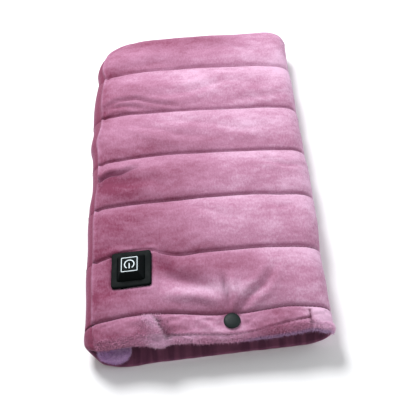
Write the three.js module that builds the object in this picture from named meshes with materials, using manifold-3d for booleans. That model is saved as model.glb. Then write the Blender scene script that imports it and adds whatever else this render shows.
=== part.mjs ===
// A heated hand warmer pouch: a quilted plush bag, closed on three sides, with a snap at its mouth,
// two heating pads between its padding and its lining, and a push switch on its upper panel.
// Millimetres. X is the pouch's width, Y runs from the mouth to the closed end, Z is up.
// The origin is on the surface that the pouch lies on, under the middle of its length and width.
import * as THREE from "three";
import { mergeVertices } from "three/addons/utils/BufferGeometryUtils.js";
import Module from "manifold-3d";

const wasm = await Module();
wasm.setup();

// Driving dimensions
const pouch = {
  width: 200,
  length: 364, // from the mouth's edge to the outer face of the grommet
  cavityHeight: 14.6, // free height for the hands
  rollRadius: 20, // how softly the sides and the closed end roll over
  farCornerLeft: 48,
  farCornerRight: 23,
  mouthDrawLeft: 11, // how far the mouth's left end is drawn in
  mouthDrawRight: 3,
  mouthDrawLength: 30,
};
const layers = {
  gap: 0.3, // between two pieces that lie on each other
  cover: 2, // plush with its backing
  waddingSide: 3,
  waddingSeam: 0.8, // where a quilting seam presses it flat
  heaterSpace: 2.4, // between padding and lining, for pads and leads
  lining: 1.6,
};
const quilt = {
  hemWidth: 26.6, // at its left end, where the mouth reaches furthest
  channelPitch: 55.6,
  channelCount: 5,
  crownTop: 6,
  archHeight: 2.5, // how much higher the top is along its middle than at its sides
  crownBottom: 3,
  crownHem: 1.6,
  crownFullness: 0.6, // below 1, a channel is fuller than a sine
  floorCut: 0.5, // depth of the flat that the pouch rests on
};
const lip = {
  skew: 7, // how much shorter the mouth's right end is than its left end
  topDrop: 4, // how much lower the upper lip lies than the quilting seams
  bandThickness: 6.2,
  lowerThickness: 4,
  edgeRound: 1.5,
  sagDepth: 5.5, // the snap's weight draws the lip down
  sagWidth: 38,
  sagLength: 62,
};
const seamPlane = { leftHeight: 28.5, rightHeight: 7, mouthDrop: 6 };
const snap = {
  centreX: 18.5,
  fromSeam: 1.5, // from the cap's rim to the hem's seam
  capDiameter: 13.6,
  capHeight: 2.4,
  rimHeight: 0.7,
  domeRadiusShares: [1, 0.9, 0.62, 0.3],
  domeHeightShares: [0, 0.55, 0.86, 1],
  postDiameter: 4,
  socketDiameter: 12,
  socketHeight: 3.6,
  socketWall: 1.5, // roof of the socket over the stud's bore
  studFlangeDiameter: 11.4,
  studFlangeThickness: 1.2,
  knobDiameter: 5.4,
  knobNeckDiameter: 4.8,
  knobHeight: 1.8,
  backDiameter: 11,
  backThickness: 1,
  backPostDiameter: 2.6,
  clearance: 0.3,
};
const control = {
  fromLeft: 40, // from the pouch's left side to the plate's centre
  fromMouth: 66.8,
  tiltDegrees: 5, // the plate leans to the left with the cloth under it
  plateSide: 33,
  plateCorner: 2.6,
  plateThickness: 2.8,
  plateBevel: 0.8,
  pressShare: 0.45, // of a channel's crown that the switch presses flat under it
  pressRadius: 32,
  moundFoot: 8, // the cloth rises to the plate over this width
  moundRise: 6,
  collarSide: 27.2,
  collarWall: 1.2,
  pocketHeight: 1.8, // room under the plate's ledge for the key's flange
};
const key = {
  baseSide: 22.4,
  topSide: 15.4,
  height: 6.2,
  topCorner: 0.8,
  baseCorner: 1.2,
  runningGap: 0.3,
  flangeSide: 24,
  flangeThickness: 1.2,
  topWall: 2,
  pocketSide: 13.6,
  travel: 1,
};
const legend = {
  frameSide: 13.6,
  line: 1.2,
  inlayDepth: 0.8,
  ringRadius: 3.9,
  barLength: 5.4,
  barOverlap: 1.1,
  gapDegrees: 76,
  postSide: 0.9,
  plateSide: 13,
  plateThickness: 1,
  stemDiameter: 3,
  fitGap: 0.12,
};
const housing = {
  side: 25.4,
  corner: 2.2,
  wall: 0.8,
  depth: 7.4, // below the plate's underside
  flangeSide: 32,
  flangeThickness: 1,
  leadSlotWidth: 8,
  leadSlotHeight: 2.2,
};
const board = { side: 23, thickness: 1, contactGap: 0.3 };
const tact = {
  side: 5.2,
  height: 2.2,
  contactGap: 0.1,
  plungerDiameter: 3,
  boreDiameter: 3.4,
  plungerLength: 1.4,
  plungerShare: 0.75, // of the key's travel, which leaves the plunger flush
};
const plungerProud = key.travel * tact.plungerShare;
const led = { side: 2, height: 1.2, offset: 5.6 };
const chip = { width: 5, length: 4, height: 1.3, offset: 6.4 };
const screw = { diameter: 1.6, holeDiameter: 2, headDiameter: 3, headHeight: 0.8, spacing: 29.2, bite: 2 };
const bush = { width: 7.4, length: 4, height: 1.9, boreDiameter: 1.3 };
const pad = { sideMargin: 25, farMargin: 34.5, fromMouth: 102, thickness: 0.6, corner: 8 };
const track = { width: 3, thickness: 0.5, runs: 8, sideMargin: 15.5, endMargin: 18, linkGap: 8 };
const terminal = { width: 13, length: 6, height: 0.9 };
const cutoff = { width: 6, length: 10, height: 0.9 };
const lead = { diameter: 1, sides: 6, spread: 2, bendRadius: 2.4, fromPad: 8.5 };
const grommet = {
  x: -30,
  boreDiameter: 2,
  bodyDiameter: 6.4,
  bodyLength: 3.6,
  flangeDiameter: 9.6,
  flangeThickness: 1.2,
  pocketDiameter: 13,
};
const overrun = 6; // how far a cutter runs past what it cuts

// Colours and finishes
const finishes = {
  plush: new THREE.MeshStandardMaterial({ color: 0xc0769c, roughness: 0.95 }),
  lining: new THREE.MeshStandardMaterial({ color: 0x8a5f8c, roughness: 0.95 }),
  wadding: new THREE.MeshStandardMaterial({ color: 0xe9e6e2, roughness: 1 }),
  felt: new THREE.MeshStandardMaterial({ color: 0xb9b9b4, roughness: 1 }),
  carbon: new THREE.MeshStandardMaterial({ color: 0x2a2a2c, roughness: 0.6 }),
  black: new THREE.MeshStandardMaterial({ color: 0x15191a, roughness: 0.45 }),
  snap: new THREE.MeshStandardMaterial({ color: 0x39454a, roughness: 0.5 }),
  steel: new THREE.MeshStandardMaterial({ color: 0xb8bcc0, roughness: 0.3, metalness: 1 }),
  white: new THREE.MeshStandardMaterial({ color: 0xdfeaf0, roughness: 0.4 }),
  laminate: new THREE.MeshStandardMaterial({ color: 0x1d5a38, roughness: 0.5 }),
  rubber: new THREE.MeshStandardMaterial({ color: 0x1b1b1d, roughness: 0.8 }),
};

// Solids: meshes go to manifold-3d and back for every joint and cut
function solidOf(geometry) {
  const bare = geometry.clone();
  bare.deleteAttribute("normal");
  bare.deleteAttribute("uv");
  const merged = mergeVertices(bare, 1e-5);
  return new wasm.Manifold(
    new wasm.Mesh({
      numProp: 3,
      vertProperties: new Float32Array(merged.attributes.position.array),
      triVerts: new Uint32Array(merged.index.array),
    }),
  );
}

function geometryOf(solid) {
  const mesh = solid.getMesh();
  const geometry = new THREE.BufferGeometry();
  geometry.setAttribute("position", new THREE.BufferAttribute(new Float32Array(mesh.vertProperties), 3));
  geometry.setIndex(new THREE.BufferAttribute(new Uint32Array(mesh.triVerts), 1));
  geometry.computeVertexNormals();
  return geometry;
}

function block(width, length, height, x = 0, y = 0, z = 0) {
  return solidOf(new THREE.BoxGeometry(width, length, height).translate(x, y, z));
}

// A block between two heights, centred on x, y
function slab(width, length, low, high, x = 0, y = 0) {
  return block(width, length, high - low, x, y, (low + high) / 2);
}

function roundedOutline(width, length, radius, steps = 3) {
  const points = [];
  for (const [sx, sy, start] of [[1, 1, 0], [-1, 1, 1], [-1, -1, 2], [1, -1, 3]]) {
    for (let k = 0; k <= steps; k++) {
      const angle = ((start + k / steps) * Math.PI) / 2;
      points.push([
        sx * (width / 2 - radius) + radius * Math.cos(angle),
        sy * (length / 2 - radius) + radius * Math.sin(angle),
      ]);
    }
  }
  return points;
}

function circleOutline(radius, sides) {
  return Array.from({ length: sides }, (_, k) => {
    const angle = (2 * Math.PI * k) / sides;
    return [radius * Math.cos(angle), radius * Math.sin(angle)];
  });
}

// Stacks convex outlines with the same number of points, bottom first, into one closed solid
function loft(sections) {
  const count = sections[0].outline.length;
  const position = sections.flatMap(({ outline, z }) => outline.flatMap(([x, y]) => [x, y, z]));
  const index = [];
  for (let s = 0; s + 1 < sections.length; s++) {
    for (let k = 0; k < count; k++) {
      const a = s * count + k;
      const b = s * count + ((k + 1) % count);
      index.push(a, b, b + count, a, b + count, a + count);
    }
  }
  const top = (sections.length - 1) * count;
  for (let k = 1; k + 1 < count; k++) index.push(0, k + 1, k, top, top + k, top + k + 1);
  const geometry = new THREE.BufferGeometry();
  geometry.setAttribute("position", new THREE.Float32BufferAttribute(position, 3));
  geometry.setIndex(index);
  return solidOf(geometry);
}

function prism(outline, low, high) {
  return loft([{ outline, z: low }, { outline, z: high }]);
}

function disc(diameter, low, high, sides = 20) {
  return prism(circleOutline(diameter / 2, sides), low, high);
}

// A solid turned round Z from half profile points, given from the lowest up
function turned(profile, sides = 24) {
  return loft(profile.map(([radius, z]) => ({ outline: circleOutline(radius, sides), z })));
}

// Heights of the layers, from the floor up
const stack = (() => {
  const coverBottomSeam = quilt.crownBottom - quilt.floorCut;
  const waddingBottomSeam = coverBottomSeam + layers.cover + layers.gap;
  const waddingBottomInner = waddingBottomSeam + layers.waddingSeam;
  const liningBottom = waddingBottomInner + layers.heaterSpace;
  const cavityBottom = liningBottom + layers.lining;
  const cavityTop = cavityBottom + pouch.cavityHeight;
  const liningTop = cavityTop + layers.lining;
  const waddingTopInner = liningTop + layers.heaterSpace;
  const coverTopSeam = waddingTopInner + layers.waddingSeam + layers.gap + layers.cover;
  return {
    coverBottomSeam,
    waddingBottomInner,
    liningBottom,
    cavityBottom,
    cavityTop,
    liningTop,
    waddingTopInner,
    coverTopSeam,
    equator: (cavityBottom + cavityTop) / 2,
  };
})();

// Distances from the cover's outline to each layer's, going inwards
const inset = {
  outer: 0,
  coverInner: layers.cover,
  waddingOuter: layers.cover + layers.gap,
  waddingInner: layers.cover + layers.gap + layers.waddingSide,
  lead: layers.cover + layers.gap + layers.waddingSide + layers.heaterSpace / 2,
  liningOuter: layers.cover + layers.gap + layers.waddingSide + layers.heaterSpace,
  cavity: layers.cover + layers.gap + layers.waddingSide + layers.heaterSpace + layers.lining,
};

const mouthY = -pouch.length / 2;
const farY = pouch.length / 2 - grommet.flangeThickness - layers.gap;
const hemSeamY = mouthY + quilt.hemWidth;
const lastSeamY = hemSeamY + quilt.channelPitch * quilt.channelCount;
const tilt = THREE.MathUtils.degToRad(control.tiltDegrees);
const controlX = -pouch.width / 2 + control.fromLeft;
const controlY = mouthY + control.fromMouth;
// The housing's lower left edge stands one gap above the lining
const plateZ =
  stack.liningTop + 2 * layers.gap + housing.depth * Math.cos(tilt) + (housing.side / 2) * Math.sin(tilt);
const snapY = hemSeamY - snap.fromSeam - snap.capDiameter / 2;

const smooth = (t) => {
  const c = Math.min(Math.max(t, 0), 1);
  return c * c * (3 - 2 * c);
};

// Half width of the outline at y, on the side that sign names
function edgeX(y, depth, sign) {
  const radius = sign < 0 ? pouch.farCornerLeft : pouch.farCornerRight;
  const draw = sign < 0 ? pouch.mouthDrawLeft : pouch.mouthDrawRight;
  const cornerY = farY - radius;
  if (y > cornerY) {
    const rise = Math.min(y - cornerY, radius - depth);
    return sign * (pouch.width / 2 - radius + Math.sqrt((radius - depth) ** 2 - rise ** 2));
  }
  const t = Math.min(Math.max((mouthY + pouch.mouthDrawLength - y) / pouch.mouthDrawLength, 0), 1);
  return sign * (pouch.width / 2 - depth - draw * t * t);
}

// Distance from x, y to the outline that lies depth inside the cover's
function edgeDistance(x, y, depth) {
  for (const [sign, radius] of [[-1, pouch.farCornerLeft], [1, pouch.farCornerRight]]) {
    const cx = sign * (pouch.width / 2 - radius);
    const cy = farY - radius;
    if (sign * (x - cx) > 0 && y > cy) return Math.max(radius - depth - Math.hypot(x - cx, y - cy), 0);
  }
  const side = Math.min(x - edgeX(y, depth, -1), edgeX(y, depth, 1) - x);
  return Math.max(Math.min(side, farY - depth - y), 0);
}

// A level rolls down to the equator near the outline, along a quarter of an ellipse
function rolled(level, x, y, depth) {
  const t = Math.min(edgeDistance(x, y, depth) / (pouch.rollRadius - depth), 1);
  return stack.equator + (level - stack.equator) * Math.sqrt(1 - (1 - t) ** 2);
}

// 0 on a seam, 1 on the crown of a channel
function channelCrown(y) {
  const along = (y - hemSeamY) / quilt.channelPitch;
  const past = along - quilt.channelCount;
  const t = past >= 0 ? Math.min(past, 0.5) : along - Math.floor(along);
  return Math.sin(Math.PI * t) ** quilt.crownFullness;
}

function hemCrown(y) {
  const t = Math.min(Math.max((y - mouthY) / quilt.hemWidth, 0), 1);
  return Math.sin(Math.PI * t);
}

function sag(x, y) {
  const along = smooth((mouthY + lip.sagLength - y) / lip.sagLength);
  return lip.sagDepth * along * Math.exp(-(((x - snap.centreX) / lip.sagWidth) ** 2));
}

// Share of the way from the hem's seam to the lip, 0 to 1
const hemShare = (y) => smooth((hemSeamY - y) / quilt.hemWidth);
const edgeRound = (y) => lip.edgeRound * (1 - smooth((y - mouthY) / (2 * lip.edgeRound)));

function arch(x, y) {
  const across = 1 - Math.min(Math.abs(2 * x) / pouch.width, 1) ** 2;
  const along = smooth((y - hemSeamY) / quilt.channelPitch) * smooth((farY - y) / quilt.channelPitch);
  return quilt.archHeight * across * along;
}

// Share of a channel's crown that is left near the switch
function unpressed(x, y) {
  const distance = Math.hypot(x - controlX, y - controlY);
  return 1 - control.pressShare * Math.exp(-((distance / control.pressRadius) ** 2));
}

function coverTopLevel(x, y) {
  const open = stack.coverTopSeam - lip.topDrop * hemShare(y) - sag(x, y) - edgeRound(y);
  if (y <= hemSeamY) return open + quilt.crownHem * hemCrown(y);
  return open + arch(x, y) + quilt.crownTop * channelCrown(y) * unpressed(x, y);
}

function coverBottomLevel(x, y) {
  if (y > hemSeamY) return stack.coverBottomSeam - quilt.crownBottom * channelCrown(y);
  return stack.coverBottomSeam * (1 - hemShare(y)) - quilt.floorCut * hemCrown(y);
}

function cavityTopLevel(x, y) {
  const lipUnderside = stack.coverTopSeam - lip.topDrop - lip.bandThickness;
  const share = hemShare(y);
  return stack.cavityTop * (1 - share) + lipUnderside * share - sag(x, y) + edgeRound(y);
}

function cavityBottomLevel(x, y) {
  const share = hemShare(y);
  return stack.cavityBottom * (1 - share) + lip.lowerThickness * share - edgeRound(y);
}

// The mouth's edge isn't square to the sides: from its left end it lies further in towards the right
function skewed(x, y) {
  const fromLeftEnd = x - edgeX(mouthY, inset.outer, -1);
  return y + lip.skew * (fromLeftEnd / pouch.width) * hemShare(y);
}

const level = (z) => () => z;
const rollSteps = 3;
const rollShares = Array.from(
  { length: rollSteps + 1 },
  (_, k) => 1 - Math.cos((k * Math.PI) / 2 / rollSteps),
);

// Shares of a row's width at which columns stand: close together where the sides roll over
function columnShares(depth, interior) {
  const span = pouch.width - 2 * depth;
  const roll = rollShares.map((s) => (s * (pouch.rollRadius - depth)) / span);
  const inner = roll[rollSteps];
  const step = (1 - 2 * inner) / interior;
  const middle = Array.from({ length: interior - 1 }, (_, k) => inner + (k + 1) * step);
  return [...roll, ...middle, ...roll.map((s) => 1 - s).reverse()];
}

const channelShares = [0, 0.1, 0.35, 0.65, 0.9];

// The rows at which a layer rolls over the closed end, with the rows where its corners begin
function endRows(depth) {
  const between = (pouch.farCornerLeft + pouch.farCornerRight) / 2;
  const corners = [pouch.farCornerLeft, between, pouch.farCornerRight].map((radius) => farY - radius);
  return [...corners, ...rollShares.map((s) => farY - depth - s * (pouch.rollRadius - depth)).reverse()];
}

// Rows of a quilted layer, each a y, from start to the closed end
function quiltedRows(depth, start) {
  const end = endRows(depth);
  const rows = [mouthY + lip.edgeRound, mouthY + 2 * lip.edgeRound, (mouthY + hemSeamY) / 2];
  for (let k = 0; k <= quilt.channelCount; k++) {
    rows.push(...channelShares.map((s) => hemSeamY + (k + s) * quilt.channelPitch));
  }
  return [start, ...rows.filter((y) => y > start + layers.gap && y < end[0] - layers.gap), ...end];
}

// Rows of a smooth layer
function plainRows(depth, start, count) {
  const end = endRows(depth);
  const edge = mouthY + 2 * lip.edgeRound;
  const hem = [mouthY, edge, (mouthY + hemSeamY) / 2, hemSeamY].filter((y) => y > start);
  const from = Math.max(start, hemSeamY);
  const middle = Array.from({ length: count - 1 }, (_, k) => from + ((k + 1) / count) * (end[0] - from));
  return [start, ...hem, ...middle, ...end];
}

// A closed body between a top and a bottom level, rolled together at its sides and its far end
function bag({ depth, top, bottom, rows, interior }) {
  const shares = columnShares(depth, interior);
  const position = [];
  const upper = [];
  const lower = [];
  rows.forEach((y, j) => {
    const left = edgeX(y, depth, -1);
    const right = edgeX(y, depth, 1);
    const last = j === rows.length - 1;
    upper.push([]);
    lower.push([]);
    shares.forEach((share, i) => {
      const x = left + (right - left) * share;
      const onEdge = last || i === 0 || i === shares.length - 1;
      upper[j].push(position.length / 3);
      position.push(x, skewed(x, y), onEdge ? stack.equator : rolled(top(x, y), x, y, depth));
      lower[j].push(onEdge ? upper[j][i] : position.length / 3);
      if (!onEdge) position.push(x, skewed(x, y), rolled(bottom(x, y), x, y, depth));
    });
  });
  const index = [];
  const triangle = (a, b, c) => {
    if (a !== b && b !== c && c !== a) index.push(a, b, c);
  };
  for (let j = 0; j + 1 < rows.length; j++) {
    for (let i = 0; i + 1 < shares.length; i++) {
      const [a, b, c, d] = [upper[j][i], upper[j][i + 1], upper[j + 1][i + 1], upper[j + 1][i]];
      triangle(a, b, c);
      triangle(a, c, d);
      const [e, f, g, h] = [lower[j][i], lower[j][i + 1], lower[j + 1][i + 1], lower[j + 1][i]];
      triangle(e, g, f);
      triangle(e, h, g);
    }
  }
  for (let i = 0; i + 1 < shares.length; i++) {
    triangle(lower[0][i], lower[0][i + 1], upper[0][i + 1]);
    triangle(lower[0][i], upper[0][i + 1], upper[0][i]);
  }
  const geometry = new THREE.BufferGeometry();
  geometry.setAttribute("position", new THREE.Float32BufferAttribute(position, 3));
  geometry.setIndex(index);
  return solidOf(geometry);
}

// Everything above or below the sloping plane in which the two panels are sewn together
function seamSide(above, drop = 0) {
  const reach = pouch.length + pouch.width;
  const leftX = -pouch.width / 2 + pouch.rollRadius / 2;
  const rightX = pouch.width / 2;
  const rise = seamPlane.rightHeight - seamPlane.leftHeight;
  const slope = Math.atan2(rise, rightX - leftX);
  const middle = (seamPlane.leftHeight + seamPlane.rightHeight) / 2 - drop;
  const half = (above ? 1 : -1) * (reach / 2 + layers.gap / 2);
  const box = new THREE.BoxGeometry(reach, reach, reach).translate(0, 0, half);
  return solidOf(box.rotateY(-slope).translate((leftX + rightX) / 2, 0, middle));
}

// Everything behind, or in front of, the hem's seam
function hemSide(behind) {
  const reach = pouch.length + pouch.width;
  const y = hemSeamY + (behind ? 1 : -1) * (reach / 2 + layers.gap / 2);
  return block(reach, reach, reach, 0, y, 0);
}

const aboveFloor = slab(2 * pouch.width, 2 * pouch.length, 0, pouch.width);
const controlPlace = new THREE.Matrix4()
  .makeTranslation(controlX, controlY, plateZ)
  .multiply(new THREE.Matrix4().makeRotationY(-tilt));

// A solid given in the switch's own frame, moved to where the switch lies
function placed(solid) {
  return solidOf(geometryOf(solid).applyMatrix4(controlPlace));
}

const outerBag = bag({
  depth: inset.outer,
  top: coverTopLevel,
  bottom: coverBottomLevel,
  rows: quiltedRows(inset.outer, mouthY),
  interior: 5,
});
const coverCore = bag({
  depth: inset.coverInner,
  top: (x, y) => coverTopLevel(x, y) - layers.cover,
  bottom: (x, y) => coverBottomLevel(x, y) + layers.cover,
  rows: quiltedRows(inset.coverInner, hemSeamY - overrun),
  interior: 5,
});
const waddingOuter = bag({
  depth: inset.waddingOuter,
  top: (x, y) => coverTopLevel(x, y) - layers.cover - layers.gap,
  bottom: (x, y) => coverBottomLevel(x, y) + layers.cover + layers.gap,
  rows: quiltedRows(inset.waddingOuter, hemSeamY - overrun),
  interior: 5,
});
const waddingCore = bag({
  depth: inset.waddingInner,
  top: level(stack.waddingTopInner),
  bottom: level(stack.waddingBottomInner),
  rows: plainRows(inset.waddingInner, hemSeamY - 2 * overrun, 2),
  interior: 1,
});
const liningOuter = bag({
  depth: inset.liningOuter,
  top: (x, y) => cavityTopLevel(x, y) + layers.lining,
  bottom: level(stack.liningBottom),
  rows: plainRows(inset.liningOuter, hemSeamY - overrun, 5),
  interior: 5,
});
const cavity = bag({
  depth: inset.cavity,
  top: cavityTopLevel,
  bottom: cavityBottomLevel,
  rows: plainRows(inset.cavity, mouthY - overrun, 5),
  interior: 5,
});

// The cloth rises to the switch's plate: a mound that narrows towards the plate
function mound(lower) {
  const foot = control.plateSide + 2 * control.moundFoot;
  const top = control.plateSide + 2 * layers.cover;
  const outline = (side) => roundedOutline(side, side, control.plateCorner, 1);
  return placed(
    loft([
      { outline: outline(foot), z: -layers.gap - control.moundRise - lower },
      { outline: outline(top - 2 * lower), z: -layers.gap - lower },
    ]),
  );
}

// A square column in the switch's frame, from one height up
function column(side, low) {
  return placed(slab(side, side, low, pouch.rollRadius));
}

const platePocket = column(control.plateSide + 2 * layers.gap, -layers.gap);
const plateRim = control.plateSide + 2 * layers.gap + 2 * layers.cover;
const collarHole = column(control.collarSide + 2 * layers.gap, -pouch.rollRadius);
const leadPocketLength = 2 * housing.leadSlotWidth;
const housingPocketSide = housing.flangeSide + 2 * layers.gap;
const housingPocket = placed(
  slab(housingPocketSide, housingPocketSide, -pouch.rollRadius / 2, pouch.rollRadius).add(
    slab(
      leadPocketLength,
      leadPocketLength,
      -pouch.rollRadius / 2,
      pouch.rollRadius,
      0,
      (housingPocketSide + leadPocketLength) / 2 - layers.gap,
    ),
  ),
);
const screwPlaces = [[-1, -1], [1, -1], [1, 1], [-1, 1]].map(([sx, sy]) => [
  (sx * screw.spacing) / 2,
  (sy * screw.spacing) / 2,
]);
function screwHoles(diameter, low, high) {
  return screwPlaces
    .map(([x, y]) => disc(diameter, low, high, 8).translate([x, y, 0]))
    .reduce((all, hole) => all.add(hole));
}

// A cutter round the grommet, through the closed end's wall
function endHole(diameter, fromY) {
  const hole = disc(diameter, fromY, farY + overrun, 16);
  return hole.rotate([-90, 0, 0]).translate([grommet.x, 0, stack.equator]);
}

const coverHollow = coverCore
  .subtract(column(plateRim, -layers.gap - layers.cover))
  .add(mound(layers.cover));
const coverShell = outerBag
  .add(mound(0))
  .subtract(coverHollow)
  .subtract(platePocket)
  .subtract(collarHole)
  .intersect(hemSide(true))
  .intersect(aboveFloor)
  .subtract(endHole(grommet.bodyDiameter + 2 * layers.gap, 0));
const coverTopPanel = coverShell
  .intersect(seamSide(true))
  .subtract(placed(screwHoles(screw.holeDiameter, -pouch.rollRadius, pouch.rollRadius)));
const coverBottomPanel = coverShell.intersect(seamSide(false));

const waddingShell = waddingOuter
  .subtract(waddingCore)
  .intersect(hemSide(true))
  .subtract(endHole(grommet.pocketDiameter, farY - pouch.rollRadius));
const waddingTop = waddingShell
  .intersect(seamSide(true))
  .subtract(housingPocket)
  .subtract(column(plateRim + 2 * layers.gap, -2 * layers.gap - layers.cover));
const waddingBottom = waddingShell.intersect(seamSide(false));

const liningBag = liningOuter.subtract(cavity).intersect(hemSide(true));

// The snap: its heights follow from the two bands that it is riveted through
const atSnapLevel = (height, depth) => rolled(height(snap.centreX, snapY), snap.centreX, snapY, depth);
const snapTopZ = atSnapLevel(coverTopLevel, inset.outer) - snap.rimHeight;
const snapUnderZ = atSnapLevel(cavityTopLevel, inset.cavity);
const studSeatZ = atSnapLevel(cavityBottomLevel, inset.cavity) - snap.rimHeight;
const socketTopZ = snapUnderZ - layers.gap;
const socketBottomZ = socketTopZ - snap.socketHeight;
const studFlangeTopZ = studSeatZ + layers.gap + snap.studFlangeThickness;
const snapTravel = socketBottomZ - studFlangeTopZ - layers.gap;
const atSnap = (solid) => solid.translate([snap.centreX, snapY, 0]);

// The rivets of the snap press the two bands flat between their flanges
const pressedFlat = atSnap(
  disc(snap.studFlangeDiameter - snap.rimHeight, socketTopZ + layers.gap, snapTopZ)
    .add(disc(snap.backDiameter - snap.rimHeight, snap.backThickness + 2 * layers.gap, studSeatZ)),
);
const bandShell = outerBag.subtract(cavity).add(pressedFlat).intersect(hemSide(false)).intersect(aboveFloor);
const mouthBandTop = bandShell
  .intersect(seamSide(true, seamPlane.mouthDrop))
  .subtract(
    atSnap(
      disc(snap.capDiameter + 2 * snap.clearance, snapTopZ, snapTopZ + overrun)
        .add(disc(snap.capDiameter + 2 * snap.clearance, socketBottomZ - overrun, socketTopZ + layers.gap))
        .add(disc(snap.postDiameter + 2 * snap.clearance, socketTopZ - overrun, snapTopZ + overrun)),
    ),
  );
const mouthBandBottom = bandShell
  .intersect(seamSide(false, seamPlane.mouthDrop))
  .subtract(
    atSnap(
      disc(snap.studFlangeDiameter + 2 * snap.clearance, studSeatZ, studSeatZ + overrun)
        .add(disc(snap.backPostDiameter + 2 * snap.clearance, -overrun, studSeatZ + overrun))
        .add(disc(snap.backDiameter + 2 * snap.clearance, -overrun, snap.backThickness + 2 * layers.gap)),
    ),
  );

function snapCap() {
  const low = snapTopZ + layers.gap;
  const radius = snap.capDiameter / 2;
  const dome = snap.domeRadiusShares.map((share, k) => [
    radius * share,
    low + snap.rimHeight + (snap.capHeight - snap.rimHeight) * snap.domeHeightShares[k],
  ]);
  const head = turned([[radius - snap.clearance, low], ...dome]);
  const postLow = socketTopZ - snap.socketWall + layers.gap;
  return atSnap(head.add(disc(snap.postDiameter, postLow, low + snap.rimHeight)));
}

function snapSocket() {
  const bore = snap.knobDiameter + 2 * snap.clearance;
  return atSnap(
    turned([
      [snap.socketDiameter / 2, socketBottomZ],
      [snap.socketDiameter / 2, socketTopZ - snap.rimHeight],
      [snap.socketDiameter / 2 - snap.rimHeight, socketTopZ],
    ])
      .subtract(disc(bore, socketBottomZ - overrun, socketTopZ - snap.socketWall))
      .subtract(disc(snap.postDiameter + 2 * snap.clearance, socketBottomZ, socketTopZ + overrun)),
  );
}

function snapStud() {
  const low = studSeatZ + layers.gap;
  const knob = turned([
    [snap.knobNeckDiameter / 2, low],
    [snap.knobNeckDiameter / 2, studFlangeTopZ + snap.knobHeight / 3],
    [snap.knobDiameter / 2, studFlangeTopZ + (snap.knobHeight * 2) / 3],
    [snap.knobNeckDiameter / 2, studFlangeTopZ + snap.knobHeight],
  ]);
  const hole = disc(snap.backPostDiameter + 2 * snap.clearance, -overrun, studFlangeTopZ);
  return atSnap(disc(snap.studFlangeDiameter, low, studFlangeTopZ).add(knob).subtract(hole));
}

function snapBackCap() {
  const low = layers.gap;
  const post = disc(snap.backPostDiameter, low, studFlangeTopZ - layers.gap);
  return atSnap(disc(snap.backDiameter, low, low + snap.backThickness).add(post));
}

// The switch, in its own frame: its origin is under the middle of the plate
function controlPlate() {
  const side = control.plateSide;
  const outline = (s) => roundedOutline(s, s, control.plateCorner);
  const ledge = key.baseSide + 2 * key.runningGap;
  const pocket = control.collarSide - 2 * control.collarWall;
  return loft([
    { outline: outline(side), z: 0 },
    { outline: outline(side), z: control.plateThickness - control.plateBevel },
    { outline: outline(side - 2 * control.plateBevel), z: control.plateThickness },
  ])
    .add(prism(outline(control.collarSide), -layers.cover, layers.gap))
    .subtract(slab(pocket, pocket, -overrun, control.pocketHeight))
    .subtract(slab(ledge, ledge, 0, overrun))
    .subtract(screwHoles(screw.diameter + layers.gap, -overrun, screw.bite));
}

const keyBottomZ = control.pocketHeight - key.runningGap - key.flangeThickness;
const keyShoulderZ = control.plateThickness + layers.gap;
const keyTopZ = keyShoulderZ + key.height;
const keyRoofZ = keyTopZ - key.topWall;

function arcBand(radius, line, low, high) {
  const half = THREE.MathUtils.degToRad(legend.gapDegrees / 2);
  const steps = 14;
  const shape = new THREE.Shape();
  const angleAt = (k) => -Math.PI / 2 + half + (k / steps) * (2 * Math.PI - 2 * half);
  const outer = Array.from({ length: steps + 1 }, (_, k) => angleAt(k));
  outer.forEach((a, k) => {
    const r = radius + line / 2;
    if (k === 0) shape.moveTo(r * Math.cos(a), r * Math.sin(a));
    else shape.lineTo(r * Math.cos(a), r * Math.sin(a));
  });
  [...outer].reverse().forEach((a) => {
    const r = radius - line / 2;
    shape.lineTo(r * Math.cos(a), r * Math.sin(a));
  });
  shape.closePath();
  const geometry = new THREE.ExtrudeGeometry(shape, { depth: high - low, bevelEnabled: false });
  return solidOf(geometry.translate(0, 0, low));
}

// The lit power symbol in its frame: the parts that reach the key's top, grown by spare on every side
function legendParts(spare, high) {
  const inlayLow = keyTopZ - legend.inlayDepth - spare;
  const line = legend.line + 2 * spare;
  const outer = legend.frameSide + 2 * spare;
  const frame = slab(outer, outer, inlayLow, high).subtract(
    slab(outer - 2 * line, outer - 2 * line, inlayLow - overrun, high + overrun),
  );
  const throughLow = keyRoofZ - layers.gap - legend.plateThickness / 2;
  const ring = arcBand(legend.ringRadius, line, throughLow, high);
  const barMiddle = legend.barOverlap - legend.barLength / 2;
  const bar = slab(line, legend.barLength + 2 * spare, throughLow, high, 0, barMiddle);
  const postPlace = (legend.frameSide - legend.line) / 2;
  const post = legend.postSide + 2 * spare;
  const posts = [[1, 0], [-1, 0], [0, 1], [0, -1]].map(([sx, sy]) =>
    slab(post, post, throughLow, inlayLow + legend.inlayDepth / 2, sx * postPlace, sy * postPlace),
  );
  return posts.reduce((all, one) => all.add(one), frame.add(ring).add(bar));
}

function switchKey() {
  const outline = (side, corner) => roundedOutline(side, side, corner);
  const body = loft([
    { outline: outline(key.baseSide, key.baseCorner), z: keyBottomZ },
    { outline: outline(key.baseSide, key.baseCorner), z: keyShoulderZ },
    { outline: outline(key.topSide, key.topCorner), z: keyTopZ },
  ]);
  const flangeTopZ = keyBottomZ + key.flangeThickness;
  const flange = prism(outline(key.flangeSide, key.baseCorner), keyBottomZ, flangeTopZ);
  return body
    .add(flange)
    .subtract(slab(key.pocketSide, key.pocketSide, keyBottomZ - overrun, keyRoofZ))
    .subtract(legendParts(legend.fitGap, keyTopZ + overrun));
}

const stemBottomZ = -housing.depth + housing.wall + board.contactGap + board.thickness + tact.contactGap
  + tact.height + plungerProud + layers.gap;

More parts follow.
